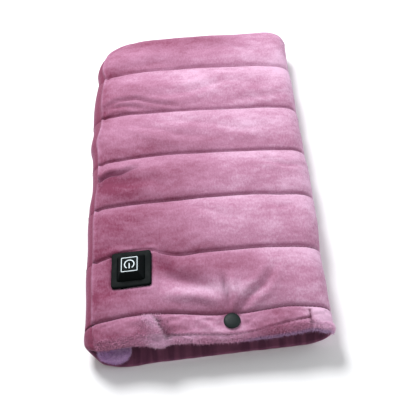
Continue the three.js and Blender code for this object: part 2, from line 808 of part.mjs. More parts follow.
function lightGuide() {
  const plateTop = keyRoofZ - layers.gap;
  return legendParts(0, keyTopZ)
    .add(slab(legend.plateSide, legend.plateSide, plateTop - legend.plateThickness, plateTop))
    .add(disc(legend.stemDiameter, stemBottomZ, plateTop, 12));
}

function controlHousing() {
  const top = -layers.cover - 2 * layers.gap;
  const outline = (side) => roundedOutline(side, side, housing.corner);
  const inner = housing.side - 2 * housing.wall;
  return prism(outline(housing.side), -housing.depth, top)
    .add(prism(outline(housing.flangeSide), top - housing.flangeThickness, top))
    .subtract(slab(inner, inner, -housing.depth + housing.wall, overrun))
    .subtract(screwHoles(screw.holeDiameter, -overrun * 2, overrun))
    .subtract(
      slab(
        housing.leadSlotWidth,
        housing.wall + overrun,
        leadAxisZ - housing.leadSlotHeight / 2,
        leadAxisZ + housing.leadSlotHeight / 2,
        0,
        (housing.side + overrun) / 2 - housing.wall,
      ),
    );
}

const boardLowZ = -housing.depth + housing.wall + board.contactGap;
const boardTopZ = boardLowZ + board.thickness;
const leadAxisZ = boardTopZ + layers.gap + housing.leadSlotHeight / 2;

function circuitBoard() {
  return slab(board.side, board.side, boardLowZ, boardTopZ);
}

function tactBody() {
  const low = boardTopZ + tact.contactGap;
  return slab(tact.side, tact.side, low, low + tact.height).subtract(
    disc(tact.boreDiameter, low + layers.gap, low + tact.height + overrun, 12),
  );
}

function tactPlunger() {
  const top = boardTopZ + tact.contactGap + tact.height + plungerProud;
  return disc(tact.plungerDiameter, top - tact.plungerLength, top, 12);
}

function onBoard(width, length, height, x, y) {
  const low = boardTopZ + tact.contactGap;
  return slab(width, length, low, low + height, x, y);
}

function housingScrew([x, y]) {
  const seat = -layers.cover - 2 * layers.gap - housing.flangeThickness - layers.gap;
  return disc(screw.headDiameter, seat - screw.headHeight, seat, 12)
    .add(disc(screw.diameter, seat - screw.headHeight / 2, screw.bite - layers.gap, 10))
    .translate([x, y, 0]);
}

// The lead bush fills the housing's slot, with a bore for each of the three leads
function leadPlaces() {
  return [-1, 0, 1].map((k) => k * lead.spread);
}
function leadBush() {
  const y = housing.side / 2 + bush.length / 2 - housing.wall;
  const body = block(bush.width, bush.length, bush.height, 0, y, leadAxisZ);
  return leadPlaces().reduce((solid, x) => {
    const bore = disc(bush.boreDiameter, -bush.length, bush.length, 8);
    return solid.subtract(bore.rotate([-90, 0, 0]).translate([x, y, leadAxisZ]));
  }, body);
}

// Heating pads: a felt carrier with a carbon track that runs to and fro on it
const padWidth = pouch.width - 2 * pad.sideMargin;
const padNearY = mouthY + pad.fromMouth;
const padLength = farY - pad.farMargin - padNearY;
const padY = padNearY + padLength / 2;
const padLow = { top: stack.liningTop + layers.gap, bottom: stack.waddingBottomInner + layers.gap };
const trackLow = (side) => padLow[side] + pad.thickness + layers.gap;

function heatingPad(side) {
  const outline = roundedOutline(padWidth, padLength, pad.corner, 4);
  return prism(outline, padLow[side], padLow[side] + pad.thickness).translate([0, padY, 0]);
}

const trackLeftX = -padWidth / 2 + track.sideMargin;
const runSpacing = (-2 * trackLeftX) / (track.runs - 1);
const trackNearY = padNearY + track.endMargin;
const trackEndY = trackNearY - track.linkGap;

function heatingTrack(side) {
  const line = []; // each entry: a point on the track's middle line and the direction across it
  const add = (x, y, nx, ny) => line.push([x, y, nx, ny]);
  const turn = runSpacing / 2;
  const farEndY = padNearY + padLength - track.endMargin;
  const steps = 6;
  add(trackLeftX, trackEndY, -1, 0);
  for (let run = 0; run < track.runs; run++) {
    const x = trackLeftX + run * runSpacing;
    const up = run % 2 === 0;
    if (run === track.runs - 1) break;
    const cy = up ? farEndY - turn : trackNearY + turn;
    for (let k = 0; k <= steps; k++) {
      const angle = Math.PI - (k / steps) * Math.PI;
      const [c, s] = [Math.cos(angle), Math.sin(angle) * (up ? 1 : -1)];
      add(x + turn + turn * c, cy + turn * s, up ? c : -c, up ? s : -s);
    }
  }
  const lastX = -trackLeftX;
  const bend = track.linkGap / 2;
  for (let k = 0; k <= steps; k++) {
    const angle = -(k / steps) * (Math.PI / 2);
    add(
      lastX - bend + bend * Math.cos(angle),
      trackEndY + bend + bend * Math.sin(angle),
      Math.cos(angle),
      Math.sin(angle),
    );
  }
  add(trackLeftX + terminal.width, trackEndY, 0, -1);
  const half = track.width / 2;
  const left = line.map(([x, y, nx, ny]) => new THREE.Vector2(x + half * nx, y + half * ny));
  const right = line.map(([x, y, nx, ny]) => new THREE.Vector2(x - half * nx, y - half * ny)).reverse();
  const shape = new THREE.Shape([...left, ...right]);
  const geometry = new THREE.ExtrudeGeometry(shape, { depth: track.thickness, bevelEnabled: false });
  return solidOf(geometry.translate(0, 0, trackLow(side)));
}

const terminalX = trackLeftX + terminal.width / 2 - track.width / 2;
const terminalY = trackEndY - track.width / 2 - layers.gap - terminal.length / 2;

function trackTerminal(side) {
  const low = trackLow(side);
  return slab(terminal.width, terminal.length, low, low + terminal.height, terminalX, terminalY);
}

function thermalCutoff(side) {
  const low = trackLow(side);
  return slab(cutoff.width, cutoff.length, low, low + cutoff.height, 0, padY);
}

// Leads lie half way between padding and lining
function leadZ(x, y, side) {
  const flat = side === "top" ? stack.liningTop : stack.waddingBottomInner;
  return rolled(flat + layers.heaterSpace / 2, x, y, inset.lead);
}

function leadTube(points, steps) {
  const curve = new THREE.CatmullRomCurve3(points.map((p) => new THREE.Vector3(...p)), false, "centripetal");
  const outline = circleOutline(lead.diameter / 2, lead.sides);
  const section = new THREE.Shape(outline.map(([x, y]) => new THREE.Vector2(x, y)));
  return solidOf(new THREE.ExtrudeGeometry(section, { steps, extrudePath: curve, bevelEnabled: false }));
}

// A point on a lead's way out of its bush, beyond the bush's outer end, in the pouch's frame
function bushExit(place, beyond) {
  const y = housing.side / 2 - housing.wall + bush.length + beyond;
  const p = new THREE.Vector3(place * lead.spread, y, leadAxisZ).applyMatrix4(controlPlace);
  return [p.x, p.y, p.z];
}

const edgeRunX = -padWidth / 2 - lead.fromPad; // where leads run beside the pads
const leadRowShares = { bottom: 0.35, supply: 0.68 }; // of the way from the bush to the pads
const exitY = bushExit(0, 0)[1];

// Out of the bush and down to the level between padding and lining
function leadDown(place, y) {
  const straight = bushExit(place, lead.diameter / 2);
  const low = [straight[0], y, leadZ(straight[0], y, "top")];
  return [bushExit(place, layers.gap - bush.length), bushExit(place, 0), straight, low];
}

function leadOntoPad(side) {
  const end = terminalY - terminal.length / 2 - layers.gap;
  const z = trackLow(side) + lead.diameter / 2;
  return [[terminalX, padNearY - lead.diameter, z], [terminalX, end, z]];
}

function heaterLeadTop() {
  const low = exitY + (padNearY - exitY) * leadRowShares.bottom;
  return leadTube([...leadDown(1, low), ...leadOntoPad("top")], 20);
}

// Turns left in an arc that starts at x, y and ends on the row y + bendRadius
function turnLeft(x, y, side) {
  return [0, 45, 90].map((degrees) => {
    const angle = THREE.MathUtils.degToRad(degrees);
    const px = x - lead.bendRadius * (1 - Math.cos(angle));
    const py = y + lead.bendRadius * Math.sin(angle);
    return [px, py, leadZ(px, py, side)];
  });
}

function heaterLeadBottom() {
  const y = exitY + (padNearY - exitY) * leadRowShares.bottom;
  const row = y + lead.bendRadius;
  const out = leadDown(-1, y);
  const aroundDegrees = [66, 44, 22, 0, -22, -44, -66];
  const depth = inset.lead;
  const around = aroundDegrees.map((degrees) => {
    const angle = THREE.MathUtils.degToRad(degrees);
    const x = -pouch.width / 2 + depth + (pouch.rollRadius - depth) * (1 - Math.cos(angle));
    return [x, row, leadZ(x, row, degrees > 0 ? "top" : "bottom")];
  });
  const back = [terminalX - lead.bendRadius, row, leadZ(terminalX, row, "bottom")];
  return leadTube(
    [
      ...out.slice(0, -1),
      ...turnLeft(out[3][0], y, "top"),
      [edgeRunX, row, leadZ(edgeRunX, row, "top")],
      ...around,
      [edgeRunX, row, leadZ(edgeRunX, row, "bottom")],
      back,
      ...leadOntoPad("bottom"),
    ],
    56,
  );
}

function supplyLead() {
  const y = exitY + (padNearY - exitY) * leadRowShares.supply;
  const row = y + lead.bendRadius;
  const out = leadDown(0, exitY + (padNearY - exitY) * leadRowShares.bottom);
  const cornerX = -pouch.width / 2 + pouch.farCornerLeft;
  const cornerY = farY - pouch.farCornerLeft;
  const onLayer = (x, py) => [x, py, leadZ(x, py, "top")];
  // Round the corner, from the run beside the pads out to the closed end's wall
  const corner = [180, 165, 150, 135, 120, 105, 90].map((degrees, k, all) => {
    const angle = THREE.MathUtils.degToRad(degrees);
    const share = (1 - k / (all.length - 1)) ** 2;
    const inwards = inset.lead + (edgeRunX + pouch.width / 2 - inset.lead) * share;
    const radius = pouch.farCornerLeft - inwards;
    return onLayer(cornerX + radius * Math.cos(angle), cornerY + radius * Math.sin(angle));
  });
  const wallY = farY - inset.lead;
  const turn = [0, 45, 90].map((degrees) => {
    const angle = THREE.MathUtils.degToRad(degrees);
    return [
      grommet.x - lead.bendRadius + lead.bendRadius * Math.sin(angle),
      wallY + lead.bendRadius * (1 - Math.cos(angle)),
      stack.equator,
    ];
  });
  return leadTube(
    [
      ...out,
      ...turnLeft(out[3][0], y, "top"),
      onLayer(edgeRunX + lead.bendRadius, row),
      onLayer(edgeRunX, row + lead.bendRadius),
      onLayer(edgeRunX, (row + cornerY) / 2),
      ...corner,
      ...turn,
      [grommet.x, farY - grommet.bodyLength, stack.equator],
      [grommet.x, farY + layers.gap + grommet.flangeThickness, stack.equator],
    ],
    84,
  );
}

function cableGrommet() {
  const flangeLow = farY + layers.gap;
  const body = disc(grommet.bodyDiameter, farY - grommet.bodyLength, flangeLow + layers.gap, 16);
  const flange = disc(grommet.flangeDiameter, flangeLow, flangeLow + grommet.flangeThickness, 20);
  const bore = disc(grommet.boreDiameter, farY - grommet.bodyLength - overrun, farY + overrun, 12);
  return body.add(flange).subtract(bore).rotate([-90, 0, 0]).translate([grommet.x, 0, stack.equator]);
}

// Assembly
const pieces = new THREE.Group();
const switchGroup = new THREE.Group();
switchGroup.position.set(controlX, controlY, plateZ);
switchGroup.rotation.y = -tilt;
pieces.add(switchGroup);

function addPiece(name, solid, finish, group = pieces) {
  const mesh = new THREE.Mesh(geometryOf(solid), finishes[finish]);
  mesh.name = name;
  group.add(mesh);
}

addPiece("cover_top_panel", coverTopPanel, "plush");
addPiece("cover_bottom_panel", coverBottomPanel, "plush");
addPiece("wadding_top", waddingTop, "wadding");
addPiece("wadding_bottom", waddingBottom, "wadding");
addPiece("lining_bag", liningBag, "lining");
addPiece("mouth_band_top", mouthBandTop, "plush");
addPiece("mouth_band_bottom", mouthBandBottom, "plush");
addPiece("snap_cap", snapCap(), "snap");
addPiece("snap_socket", snapSocket(), "snap");
addPiece("snap_stud", snapStud(), "snap");
addPiece("snap_back_cap", snapBackCap(), "snap");
for (const side of ["top", "bottom"]) {
  addPiece("heating_pad_" + side, heatingPad(side), "felt");
  addPiece("heating_track_" + side, heatingTrack(side), "carbon");
  addPiece("track_terminal_" + side, trackTerminal(side), "white");
  addPiece("thermal_cutoff_" + side, thermalCutoff(side), "steel");
}
addPiece("heater_lead_top", heaterLeadTop(), "rubber");
addPiece("heater_lead_bottom", heaterLeadBottom(), "rubber");
addPiece("supply_lead", supplyLead(), "rubber");
addPiece("cable_grommet", cableGrommet(), "rubber");

addPiece("switch_plate", controlPlate(), "black", switchGroup);
addPiece("switch_key", switchKey(), "black", switchGroup);
addPiece("legend_light_guide", lightGuide(), "white", switchGroup);
addPiece("switch_housing", controlHousing(), "black", switchGroup);
addPiece("circuit_board", circuitBoard(), "laminate", switchGroup);
addPiece("tact_switch_body", tactBody(), "black", switchGroup);
addPiece("tact_plunger", tactPlunger(), "white", switchGroup);
const ledSolid = onBoard(led.side, led.side, led.height, led.offset, led.offset);
addPiece("status_led", ledSolid, "white", switchGroup);
const controlChip = onBoard(chip.width, chip.length, chip.height, -chip.offset, -chip.offset);
addPiece("control_chip", controlChip, "black", switchGroup);
addPiece("lead_bush", leadBush(), "rubber", switchGroup);
screwPlaces.forEach((place, k) => {
  addPiece("housing_screw_" + (k + 1), housingScrew(place), "steel", switchGroup);
});

console.log("snap travel", snapTravel.toFixed(3));
console.log("key travel", key.travel, "plunger travel", plungerProud);

export default pieces;
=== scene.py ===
# A quilted plush hand warmer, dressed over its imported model.
# Lengths are in millimetres until a mesh is made, and metres from there on.
import math

import bpy
import numpy as np
from mathutils import Matrix, Vector


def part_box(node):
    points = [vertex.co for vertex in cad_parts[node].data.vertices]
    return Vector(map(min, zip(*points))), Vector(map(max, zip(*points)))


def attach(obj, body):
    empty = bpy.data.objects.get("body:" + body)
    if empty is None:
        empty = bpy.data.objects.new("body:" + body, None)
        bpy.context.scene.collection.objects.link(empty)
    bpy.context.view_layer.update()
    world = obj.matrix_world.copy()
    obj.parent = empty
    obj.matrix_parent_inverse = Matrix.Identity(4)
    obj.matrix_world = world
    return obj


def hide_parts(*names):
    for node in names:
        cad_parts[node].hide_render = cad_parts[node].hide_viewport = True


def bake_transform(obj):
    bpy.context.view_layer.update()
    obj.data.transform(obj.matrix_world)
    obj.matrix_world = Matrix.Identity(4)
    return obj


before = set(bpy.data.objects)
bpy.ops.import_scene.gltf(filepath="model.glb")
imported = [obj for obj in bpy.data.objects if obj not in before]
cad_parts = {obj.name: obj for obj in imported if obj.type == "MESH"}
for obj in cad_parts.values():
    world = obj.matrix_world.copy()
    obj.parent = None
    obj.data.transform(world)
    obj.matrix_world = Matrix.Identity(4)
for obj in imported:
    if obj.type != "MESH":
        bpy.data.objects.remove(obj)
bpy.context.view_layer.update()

toMetres = 0.001


def boxOf(node):
    low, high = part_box(node)
    return np.array(low) / toMetres, np.array(high) / toMetres


print("reading sizes from the packed model")
lowerLow, lowerHigh = boxOf("cover_bottom_panel")
liningLow, liningHigh = boxOf("lining_bag")
plateLow, plateHigh = boxOf("switch_plate")
capLow, capHigh = boxOf("snap_cap")
socketLow, socketHigh = boxOf("snap_socket")
studLow, studHigh = boxOf("snap_stud")
backLow, backHigh = boxOf("snap_back_cap")
exitLow, exitHigh = boxOf("cable_grommet")
exitPlace = ((exitLow[0] + exitHigh[0]) / 2, (exitLow[2] + exitHigh[2]) / 2)

# The pouch's own sizes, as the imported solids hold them
pouch = {
    "halfWidth": -lowerLow[0],
    "mouthY": boxOf("mouth_band_bottom")[0][1],
    "farY": lowerHigh[1],
    "hemSeamY": (boxOf("cover_top_panel")[0][1] + boxOf("mouth_band_top")[1][1]) / 2,
    "channels": 5,
    "channelPitch": 55.6,
    "rollRadius": 20.0,
    "mouthDrawLength": 30.0,
}
layers = {
    "gap": 0.3,
    "cover": 2.0,
    "waddingSide": 3.0,
    "waddingSeam": 0.8,
    "heaterSpace": 2.4,
    "lining": 1.6,
    "liningDepth": 7.7,  # how far the lining's outer side lies inside the pouch's skin
    "thinnest": 0.6,
}
levels = {
    "bottomSeam": 2.5,
    "liningTop": liningHigh[2],
    "liningBottom": liningLow[2],
}
levels["paddingTop"] = levels["liningTop"] + layers["heaterSpace"]
levels["topSeam"] = levels["paddingTop"] + layers["waddingSeam"] + layers["gap"] + layers["cover"]
levels["paddingBottom"] = boxOf("heating_pad_bottom")[0][2] - layers["gap"]
levels["cavityTop"] = levels["liningTop"] - layers["lining"]
levels["cavityBottom"] = levels["liningBottom"] + layers["lining"]
levels["equator"] = (levels["cavityTop"] + levels["cavityBottom"]) / 2

# The switch, and how the cloth is pressed and puffs up round its plate
control = {
    "tilt": math.radians(5.0),
    "plateSide": 33.0,
    "plateCorner": 2.6,
    "plateThickness": 2.8,
    "plateBevel": 0.8,
    "pressShare": 0.45,
    "pressRadius": 32.0,
    "seatFrom": 2.0,
    "seatOver": 12.0,
    "seamClear": 2.0,
    "seamOver": 6.0,
    "puff": 1.3,
    "puffAt": 3.2,
    "puffWidth": 2.4,
    "coverHole": 14.4,
    "paddingHole": 17.0,
}
halfPlate = control["plateSide"] / 2
control["x"] = plateHigh[0] - halfPlate * math.cos(control["tilt"])
control["y"] = (plateLow[1] + plateHigh[1]) / 2
control["z"] = (
    plateHigh[2]
    - control["plateThickness"] * math.cos(control["tilt"])
    - (halfPlate - control["plateBevel"]) * math.sin(control["tilt"])
)
snap = {
    "x": (capLow[0] + capHigh[0]) / 2,
    "y": (capLow[1] + capHigh[1]) / 2,
    "capTop": capHigh[2],
    "capHeight": 2.4,
    "capRadius": (capHigh[0] - capLow[0]) / 2,
    "upperHole": 3.0,
    "lowerHole": 2.4,
}


# Camera, found by fitting the seams and the outline of the photographed pouch
view = {
    "azimuth": 1.12,
    "elevation": 52.43,
    "roll": -4.986,
    "distance": 642.88,
    "target": (-0.847, -36.641, 20.0),
    "focalPixels": 713.834,
    "imageSide": 400,
    "sensorWidth": 36.0,
}


def makeCamera():
    azimuth, elevation, roll = (math.radians(view[k]) for k in ("azimuth", "elevation", "roll"))
    back = Vector((
        math.sin(azimuth) * math.cos(elevation),
        -math.cos(azimuth) * math.cos(elevation),
        math.sin(elevation),
    ))
    right = (-back).cross(Vector((0, 0, 1))).normalized()
    up = right.cross(-back)
    turnedRight = right * math.cos(roll) + up * math.sin(roll)
    turnedUp = up * math.cos(roll) - right * math.sin(roll)
    data = bpy.data.cameras.new("camera")
    data.sensor_width = view["sensorWidth"]
    data.lens = view["focalPixels"] * view["sensorWidth"] / view["imageSide"]
    camera = bpy.data.objects.new("camera", data)
    place = Matrix((turnedRight, turnedUp, back)).transposed().to_4x4()
    place.translation = (Vector(view["target"]) + back * view["distance"]) * toMetres
    camera.matrix_world = place
    bpy.context.scene.collection.objects.link(camera)
    bpy.context.scene.camera = camera


print("camera")
makeCamera()


# Shader maths: an expression on sockets adds its own Math nodes
class Wire:
    def __init__(self, shader, socket):
        self.shader = shader
        self.socket = socket

    def maths(self, operation, *values):
        return self.shader.add("ShaderNodeMath", {"operation": operation}, list(values))

    def __add__(self, other):
        return self.maths("ADD", self, other)

    def __radd__(self, other):
        return self.maths("ADD", other, self)

    def __sub__(self, other):
        return self.maths("SUBTRACT", self, other)

    def __rsub__(self, other):
        return self.maths("SUBTRACT", other, self)

    def __mul__(self, other):
        return self.maths("MULTIPLY", self, other)

    def __rmul__(self, other):
        return self.maths("MULTIPLY", other, self)

    def clamped(self):
        wire = self.maths("ADD", self, 0.0)
        wire.socket.node.use_clamp = True
        return wire


class Shader:
    def __init__(self, material, surface="Principled BSDF"):
        self.material = material
        self.material.use_nodes = True
        self.tree = self.material.node_tree
        self.surface = self.tree.nodes[surface]

    def feed(self, socket, value):
        if isinstance(value, Wire):
            self.tree.links.new(value.socket, socket)
        elif socket.type == "RGBA" and len(value) == 3:
            socket.default_value = (*value, 1.0)
        else:
            socket.default_value = value

    # A node of a type, its settings first, then the values or wires of its sockets
    def add(self, kind, settings=None, inputs=None, output=0):
        node = self.tree.nodes.new(kind)
        for key, value in (settings or {}).items():
            setattr(node, key, value)
        pairs = inputs.items() if isinstance(inputs, dict) else enumerate(inputs or [])
        for key, value in pairs:
            self.feed(node.inputs[key], value)
        return Wire(self, node.outputs[output])

    def objectPlace(self, scale=(1.0, 1.0, 1.0)):
        place = self.add("ShaderNodeTexCoord", output="Object")
        return self.add("ShaderNodeMapping", {"vector_type": "POINT"}, {"Vector": place, "Scale": scale})

    def noise(self, scale, detail=3.0, roughness=0.5, stretch=(1.0, 1.0, 1.0)):
        place = self.objectPlace(stretch)
        return self.add(
            "ShaderNodeTexNoise",
            {"noise_dimensions": "3D"},
            {"Vector": place, "Scale": scale, "Detail": detail, "Roughness": roughness},
        )

    def mixColour(self, share, first, second, blend="MIX"):
        # Sockets 0, 6 and 7 are the Mix node's share and colours, and output 2 its colour
        settings = {"data_type": "RGBA", "blend_type": blend}
        return self.add("ShaderNodeMix", settings, {0: share, 6: first, 7: second}, output=2)

    def range(self, value, low, high, toLow=0.0, toHigh=1.0):
        return self.add(
            "ShaderNodeMapRange",
            {"clamp": True},
            {"Value": value, "From Min": low, "From Max": high, "To Min": toLow, "To Max": toHigh},
        )

    def attribute(self, name):
        return self.add("ShaderNodeAttribute", {"attribute_name": name}, output="Fac")

    def bump(self, height, strength, distance, under=None):
        inputs = {"Height": height, "Strength": strength, "Distance": distance}
        if under is not None:
            inputs["Normal"] = under
        return self.add("ShaderNodeBump", None, inputs, output="Normal")

    def set(self, **sockets):
        for key, value in sockets.items():
            self.feed(self.surface.inputs[key.replace("_", " ")], value)
        return self.material


def linear(red, green, blue):
    def one(value):
        share = value / 255
        return share / 12.92 if share <= 0.04045 else ((share + 0.055) / 1.055) ** 2.4

    return tuple(one(value) for value in (red, green, blue))


plush = {
    # The dark and light colours carry both the cloth's random tone and painted light and shade
    "deepAndShaded": linear(130, 62, 88),
    "plain": linear(184, 129, 158),
    "brushedAndLit": linear(222, 180, 207),
    # Painted shade: the colour that seams and creases darken to
    "foldShade": linear(86, 34, 58),
    # The lining's lilac, also used as a painted sheen on the lip's tip
    "turned": linear(124, 100, 138),
    # Painted shade: the darker colours of the inner sides, for the mouth's interior
    "inside": linear(134, 80, 106),
    "insideDeepShade": linear(108, 62, 86),
    "contrast": 1.0,
    "paintedLightAcross": 1.9,  # painted light: how fast the colour lightens across and along the pouch, in metres
    "paintedLightAlong": 0.2,
    "paintedShadingWeight": 0.2,
    "darkTo": (0.05, 0.5),  # the tone and painted light between which its dark and plain colours mix
    "lightFrom": (0.5, 0.8),
    "fleck": (0.86, 1.1),
    "sheenTint": linear(236, 208, 236),
    "sheenWeight": 0.35,
    "sheenRoughness": 0.4,
    "pileDepth": 0.0007,
}


def pileMaterial(name, look):
    shader = Shader(bpy.data.materials.new(name))
    broad = shader.noise(34.0, 2.0, 0.5, stretch=(0.45, 1.0, 1.0))
    nap = shader.noise(170.0, 3.0, 0.6, stretch=(0.5, 1.0, 1.0))
    streaks = shader.noise(700.0, 3.0, 0.65, stretch=(1.0, 0.5, 1.0))
    pile = shader.noise(2600.0, 2.0, 0.6)
    place = shader.add("ShaderNodeTexCoord", output="Object")
    across = shader.add("ShaderNodeSeparateXYZ", None, [place])
    along = shader.add("ShaderNodeSeparateXYZ", None, [place], output="Y")
    # The noises' middles add up to 0.725, and a value of 0.5 is plain
    toneAndLight = (broad * 0.65 + nap * 0.4 + streaks * 0.4 - 0.725) * look["contrast"] + 0.5
    # Painted light: lighter towards the right and towards the far end
    toneAndLight = toneAndLight + across * look["paintedLightAcross"] + along * look["paintedLightAlong"]
    # Painted light and shade, from each piece's attribute
    toneAndLight = toneAndLight + shader.attribute("paintedShading") * look["paintedShadingWeight"]
    colour = shader.mixColour(shader.range(toneAndLight, *look["darkTo"]), look["deepAndShaded"], look["plain"])
    colour = shader.mixColour(shader.range(toneAndLight, *look["lightFrom"]), colour, look["brushedAndLit"])
    fleck = shader.range(pile, 0.3, 0.7, *look["fleck"])
    grey = shader.add("ShaderNodeCombineColor", None, [fleck, fleck, fleck])
    colour = shader.mixColour(1.0, colour, grey, "MULTIPLY")
    # Lilac: the lining's own colour in the mouth's left corner, and a painted sheen on the right lip's tip
    turned = shader.attribute("turned").clamped()
    colour = shader.mixColour(turned, colour, look["turned"])
    # The inner sides take painted shade, darker in stripes along the gathers
    gathers = shader.noise(150.0, 2.0, 0.5, stretch=(1.0, 0.1, 0.3))
    shaded = shader.mixColour(shader.range(gathers, 0.4, 0.62), look["insideDeepShade"], look["inside"])
    colour = shader.mixColour(shader.attribute("inside").clamped(), colour, shaded)
    # Painted shade in the seams and creases
    foldShade = shader.attribute("foldShade").clamped()
    colour = shader.mixColour(foldShade, colour, look["foldShade"])
    normal = shader.bump(nap, 0.35, look["pileDepth"] * 2)
    normal = shader.bump(streaks, 0.35, look["pileDepth"], normal)
    normal = shader.bump(pile, 0.5, look["pileDepth"] * 0.6, normal)
    return shader.set(
        Base_Color=colour,
        Roughness=shader.range(toneAndLight, 0.3, 0.7, 0.95, 0.8),
        Normal=normal,
        Sheen_Weight=look["sheenWeight"],
        Sheen_Roughness=look["sheenRoughness"],
        Sheen_Tint=look["sheenTint"],
        Specular_IOR_Level=0.15,
    )


# Painted light: a lighter copy of the plush for its fibres, making up for the shade they cast on each other
lightenedPlushFibre = dict(
    plush,
    deepAndShaded=linear(186, 118, 148),
    plain=linear(210, 152, 182),
    brushedAndLit=linear(238, 200, 224),
    turned=linear(190, 160, 200),
    sheenWeight=0.6,
)
lilac = dict(
    plush,
    deepAndShaded=linear(116, 76, 132),
    plain=linear(180, 134, 192),
    brushedAndLit=linear(206, 172, 214),
    foldShade=linear(60, 34, 64),
    turned=linear(146, 108, 160),
    # Painted shade of the lining's inner side
    inside=linear(70, 44, 62),
    insideDeepShade=linear(48, 26, 42),
    contrast=2.2,
    paintedLightAcross=0.0,
    paintedLightAlong=0.0,
    paintedShadingWeight=0.0,
    sheenTint=linear(225, 205, 245),
    sheenWeight=0.5,
    sheenRoughness=0.45,
    pileDepth=0.0009,
)
# Painted light: a lighter copy of the lining for its fibres
lightenedLiningFibre = dict(
    lilac,
    deepAndShaded=linear(150, 104, 166),
    plain=linear(214, 172, 220),
    brushedAndLit=linear(240, 210, 242),
    sheenWeight=0.6,
)
thread = {"colour": linear(132, 66, 96), "dark": linear(92, 38, 64)}


def threadMaterial():
    shader = Shader(bpy.data.materials.new("sewing_thread"))
    twist = shader.noise(2400.0, 2.0, 0.5, stretch=(1.0, 1.0, 3.0))
    colour = shader.mixColour(shader.range(twist, 0.35, 0.65), thread["dark"], thread["colour"])
    return shader.set(Base_Color=colour, Roughness=0.7, Normal=shader.bump(twist, 0.5, 0.0002))


def paddingMaterial():
    shader = Shader(bpy.data.materials.new("polyester_padding"))
    clumps = shader.noise(180.0, 4.0, 0.6)
    fibres = shader.noise(1500.0, 3.0, 0.65, stretch=(0.3, 1.0, 1.0))
    colour = shader.mixColour(clumps, linear(224, 222, 218), linear(246, 245, 242))
    normal = shader.bump(fibres, 0.6, 0.0006, shader.bump(clumps, 0.4, 0.001))
    return shader.set(Base_Color=colour, Roughness=0.95, Normal=normal)


def plasticMaterial(name, colour, worn, roughness, grain=1800.0, wear=0.5, shine=0.5):
    shader = Shader(bpy.data.materials.new(name))
    texture = shader.noise(grain, 2.0, 0.5)
    smudge = shader.noise(140.0, 3.0, 0.6)
    edges = shader.add("ShaderNodeNewGeometry", output="Pointiness")
    rubbed = shader.range(edges, 0.52, 0.6) * shader.range(smudge, 0.4, 0.6) * wear
    mixed = shader.mixColour(rubbed, colour, worn)
    return shader.set(
        Base_Color=mixed,
        Roughness=shader.range(smudge, 0.3, 0.7, roughness - 0.06, roughness + 0.08),
        Normal=shader.bump(texture, 0.25, 0.0001),
        Specular_IOR_Level=shine,
    )


def metalMaterial(name, colour, roughness, metallic=1.0, shine=0.5):
    shader = Shader(bpy.data.materials.new(name))
    lines = shader.noise(500.0, 3.0, 0.6, stretch=(1.0, 1.0, 12.0))
    spots = shader.noise(260.0, 3.0, 0.6)
    tinted = shader.mixColour(shader.range(spots, 0.35, 0.7), colour, tuple(c * 0.75 for c in colour))
    return shader.set(
        Base_Color=tinted,
        Metallic=metallic,
        Roughness=shader.range(lines, 0.3, 0.7, roughness - 0.05, roughness + 0.12),
        Normal=shader.bump(lines, 0.15, 0.0001),
        Specular_IOR_Level=shine,
    )


def feltMaterial():
    shader = Shader(bpy.data.materials.new("needled_felt"))
    fibres = shader.noise(900.0, 4.0, 0.7, stretch=(1.0, 0.4, 1.0))
    patches = shader.noise(60.0, 3.0, 0.5)
    colour = shader.mixColour(patches, linear(172, 172, 168), linear(198, 198, 193))
    colour = shader.mixColour(shader.range(fibres, 0.55, 0.7), colour, linear(120, 120, 118))
    return shader.set(Base_Color=colour, Roughness=0.95, Normal=shader.bump(fibres, 0.6, 0.0004))


def boardMaterial():
    shader = Shader(bpy.data.materials.new("circuit_laminate"))
    weave = shader.noise(700.0, 1.0, 0.5)
    cells = shader.add(
        "ShaderNodeTexVoronoi",
        {"feature": "DISTANCE_TO_EDGE"},
        {"Vector": shader.objectPlace(), "Scale": 260.0},
        output="Distance",
    )
    tracks = shader.range(cells, 0.04, 0.07)
    colour = shader.mixColour(tracks, linear(52, 130, 84), linear(24, 84, 52))
    colour = shader.mixColour(shader.range(weave, 0.4, 0.6) * 0.3, colour, linear(18, 60, 40))
    return shader.set(Base_Color=colour, Roughness=0.35, Normal=shader.bump(tracks, 0.3, 0.0001))


def legendMaterial():
    shader = Shader(bpy.data.materials.new("legend_painted_glow"))
    mottle = shader.noise(600.0, 2.0, 0.5)
    colour = shader.mixColour(mottle, linear(176, 190, 196), linear(200, 212, 216))
    return shader.set(
        Base_Color=colour,
        Roughness=shader.range(mottle, 0.3, 0.7, 0.35, 0.5),
        # Emission: a faint painted glow
        Emission_Color=linear(190, 212, 224),
        Emission_Strength=0.06,
    )


print("materials")
# Plastics: fresh and worn colour, roughness, size of the grain and how far the edges are rubbed
finishes = {
    "plush": pileMaterial("pink_plush", plush),
    "lightenedFibre": pileMaterial("plush_fibre_lightened", lightenedPlushFibre),
    "lining": pileMaterial("lilac_lining", lilac),
    "lightenedLiningFibre": pileMaterial("lining_fibre_lightened", lightenedLiningFibre),
    "thread": threadMaterial(),
    "padding": paddingMaterial(),
    "felt": feltMaterial(),
    "carbon": plasticMaterial("carbon_ink", linear(40, 40, 43), linear(66, 66, 70), 0.6, 2600.0, 0.3),
    "black": plasticMaterial("black_plastic", linear(9, 14, 14), linear(44, 54, 58), 0.55, shine=0.05),
    "white": plasticMaterial("white_nylon", linear(226, 228, 226), linear(244, 244, 242), 0.5),
    "legend": legendMaterial(),
    "snap": metalMaterial("snap_enamel", linear(20, 31, 30), 0.5, 0.05, shine=0.2),
    "steel": metalMaterial("zinc_plate", linear(190, 192, 196), 0.3),
    "laminate": boardMaterial(),
    "rubber": plasticMaterial("lead_sleeve", linear(32, 32, 35), linear(58, 58, 62), 0.6, 1400.0, 0.2),
}


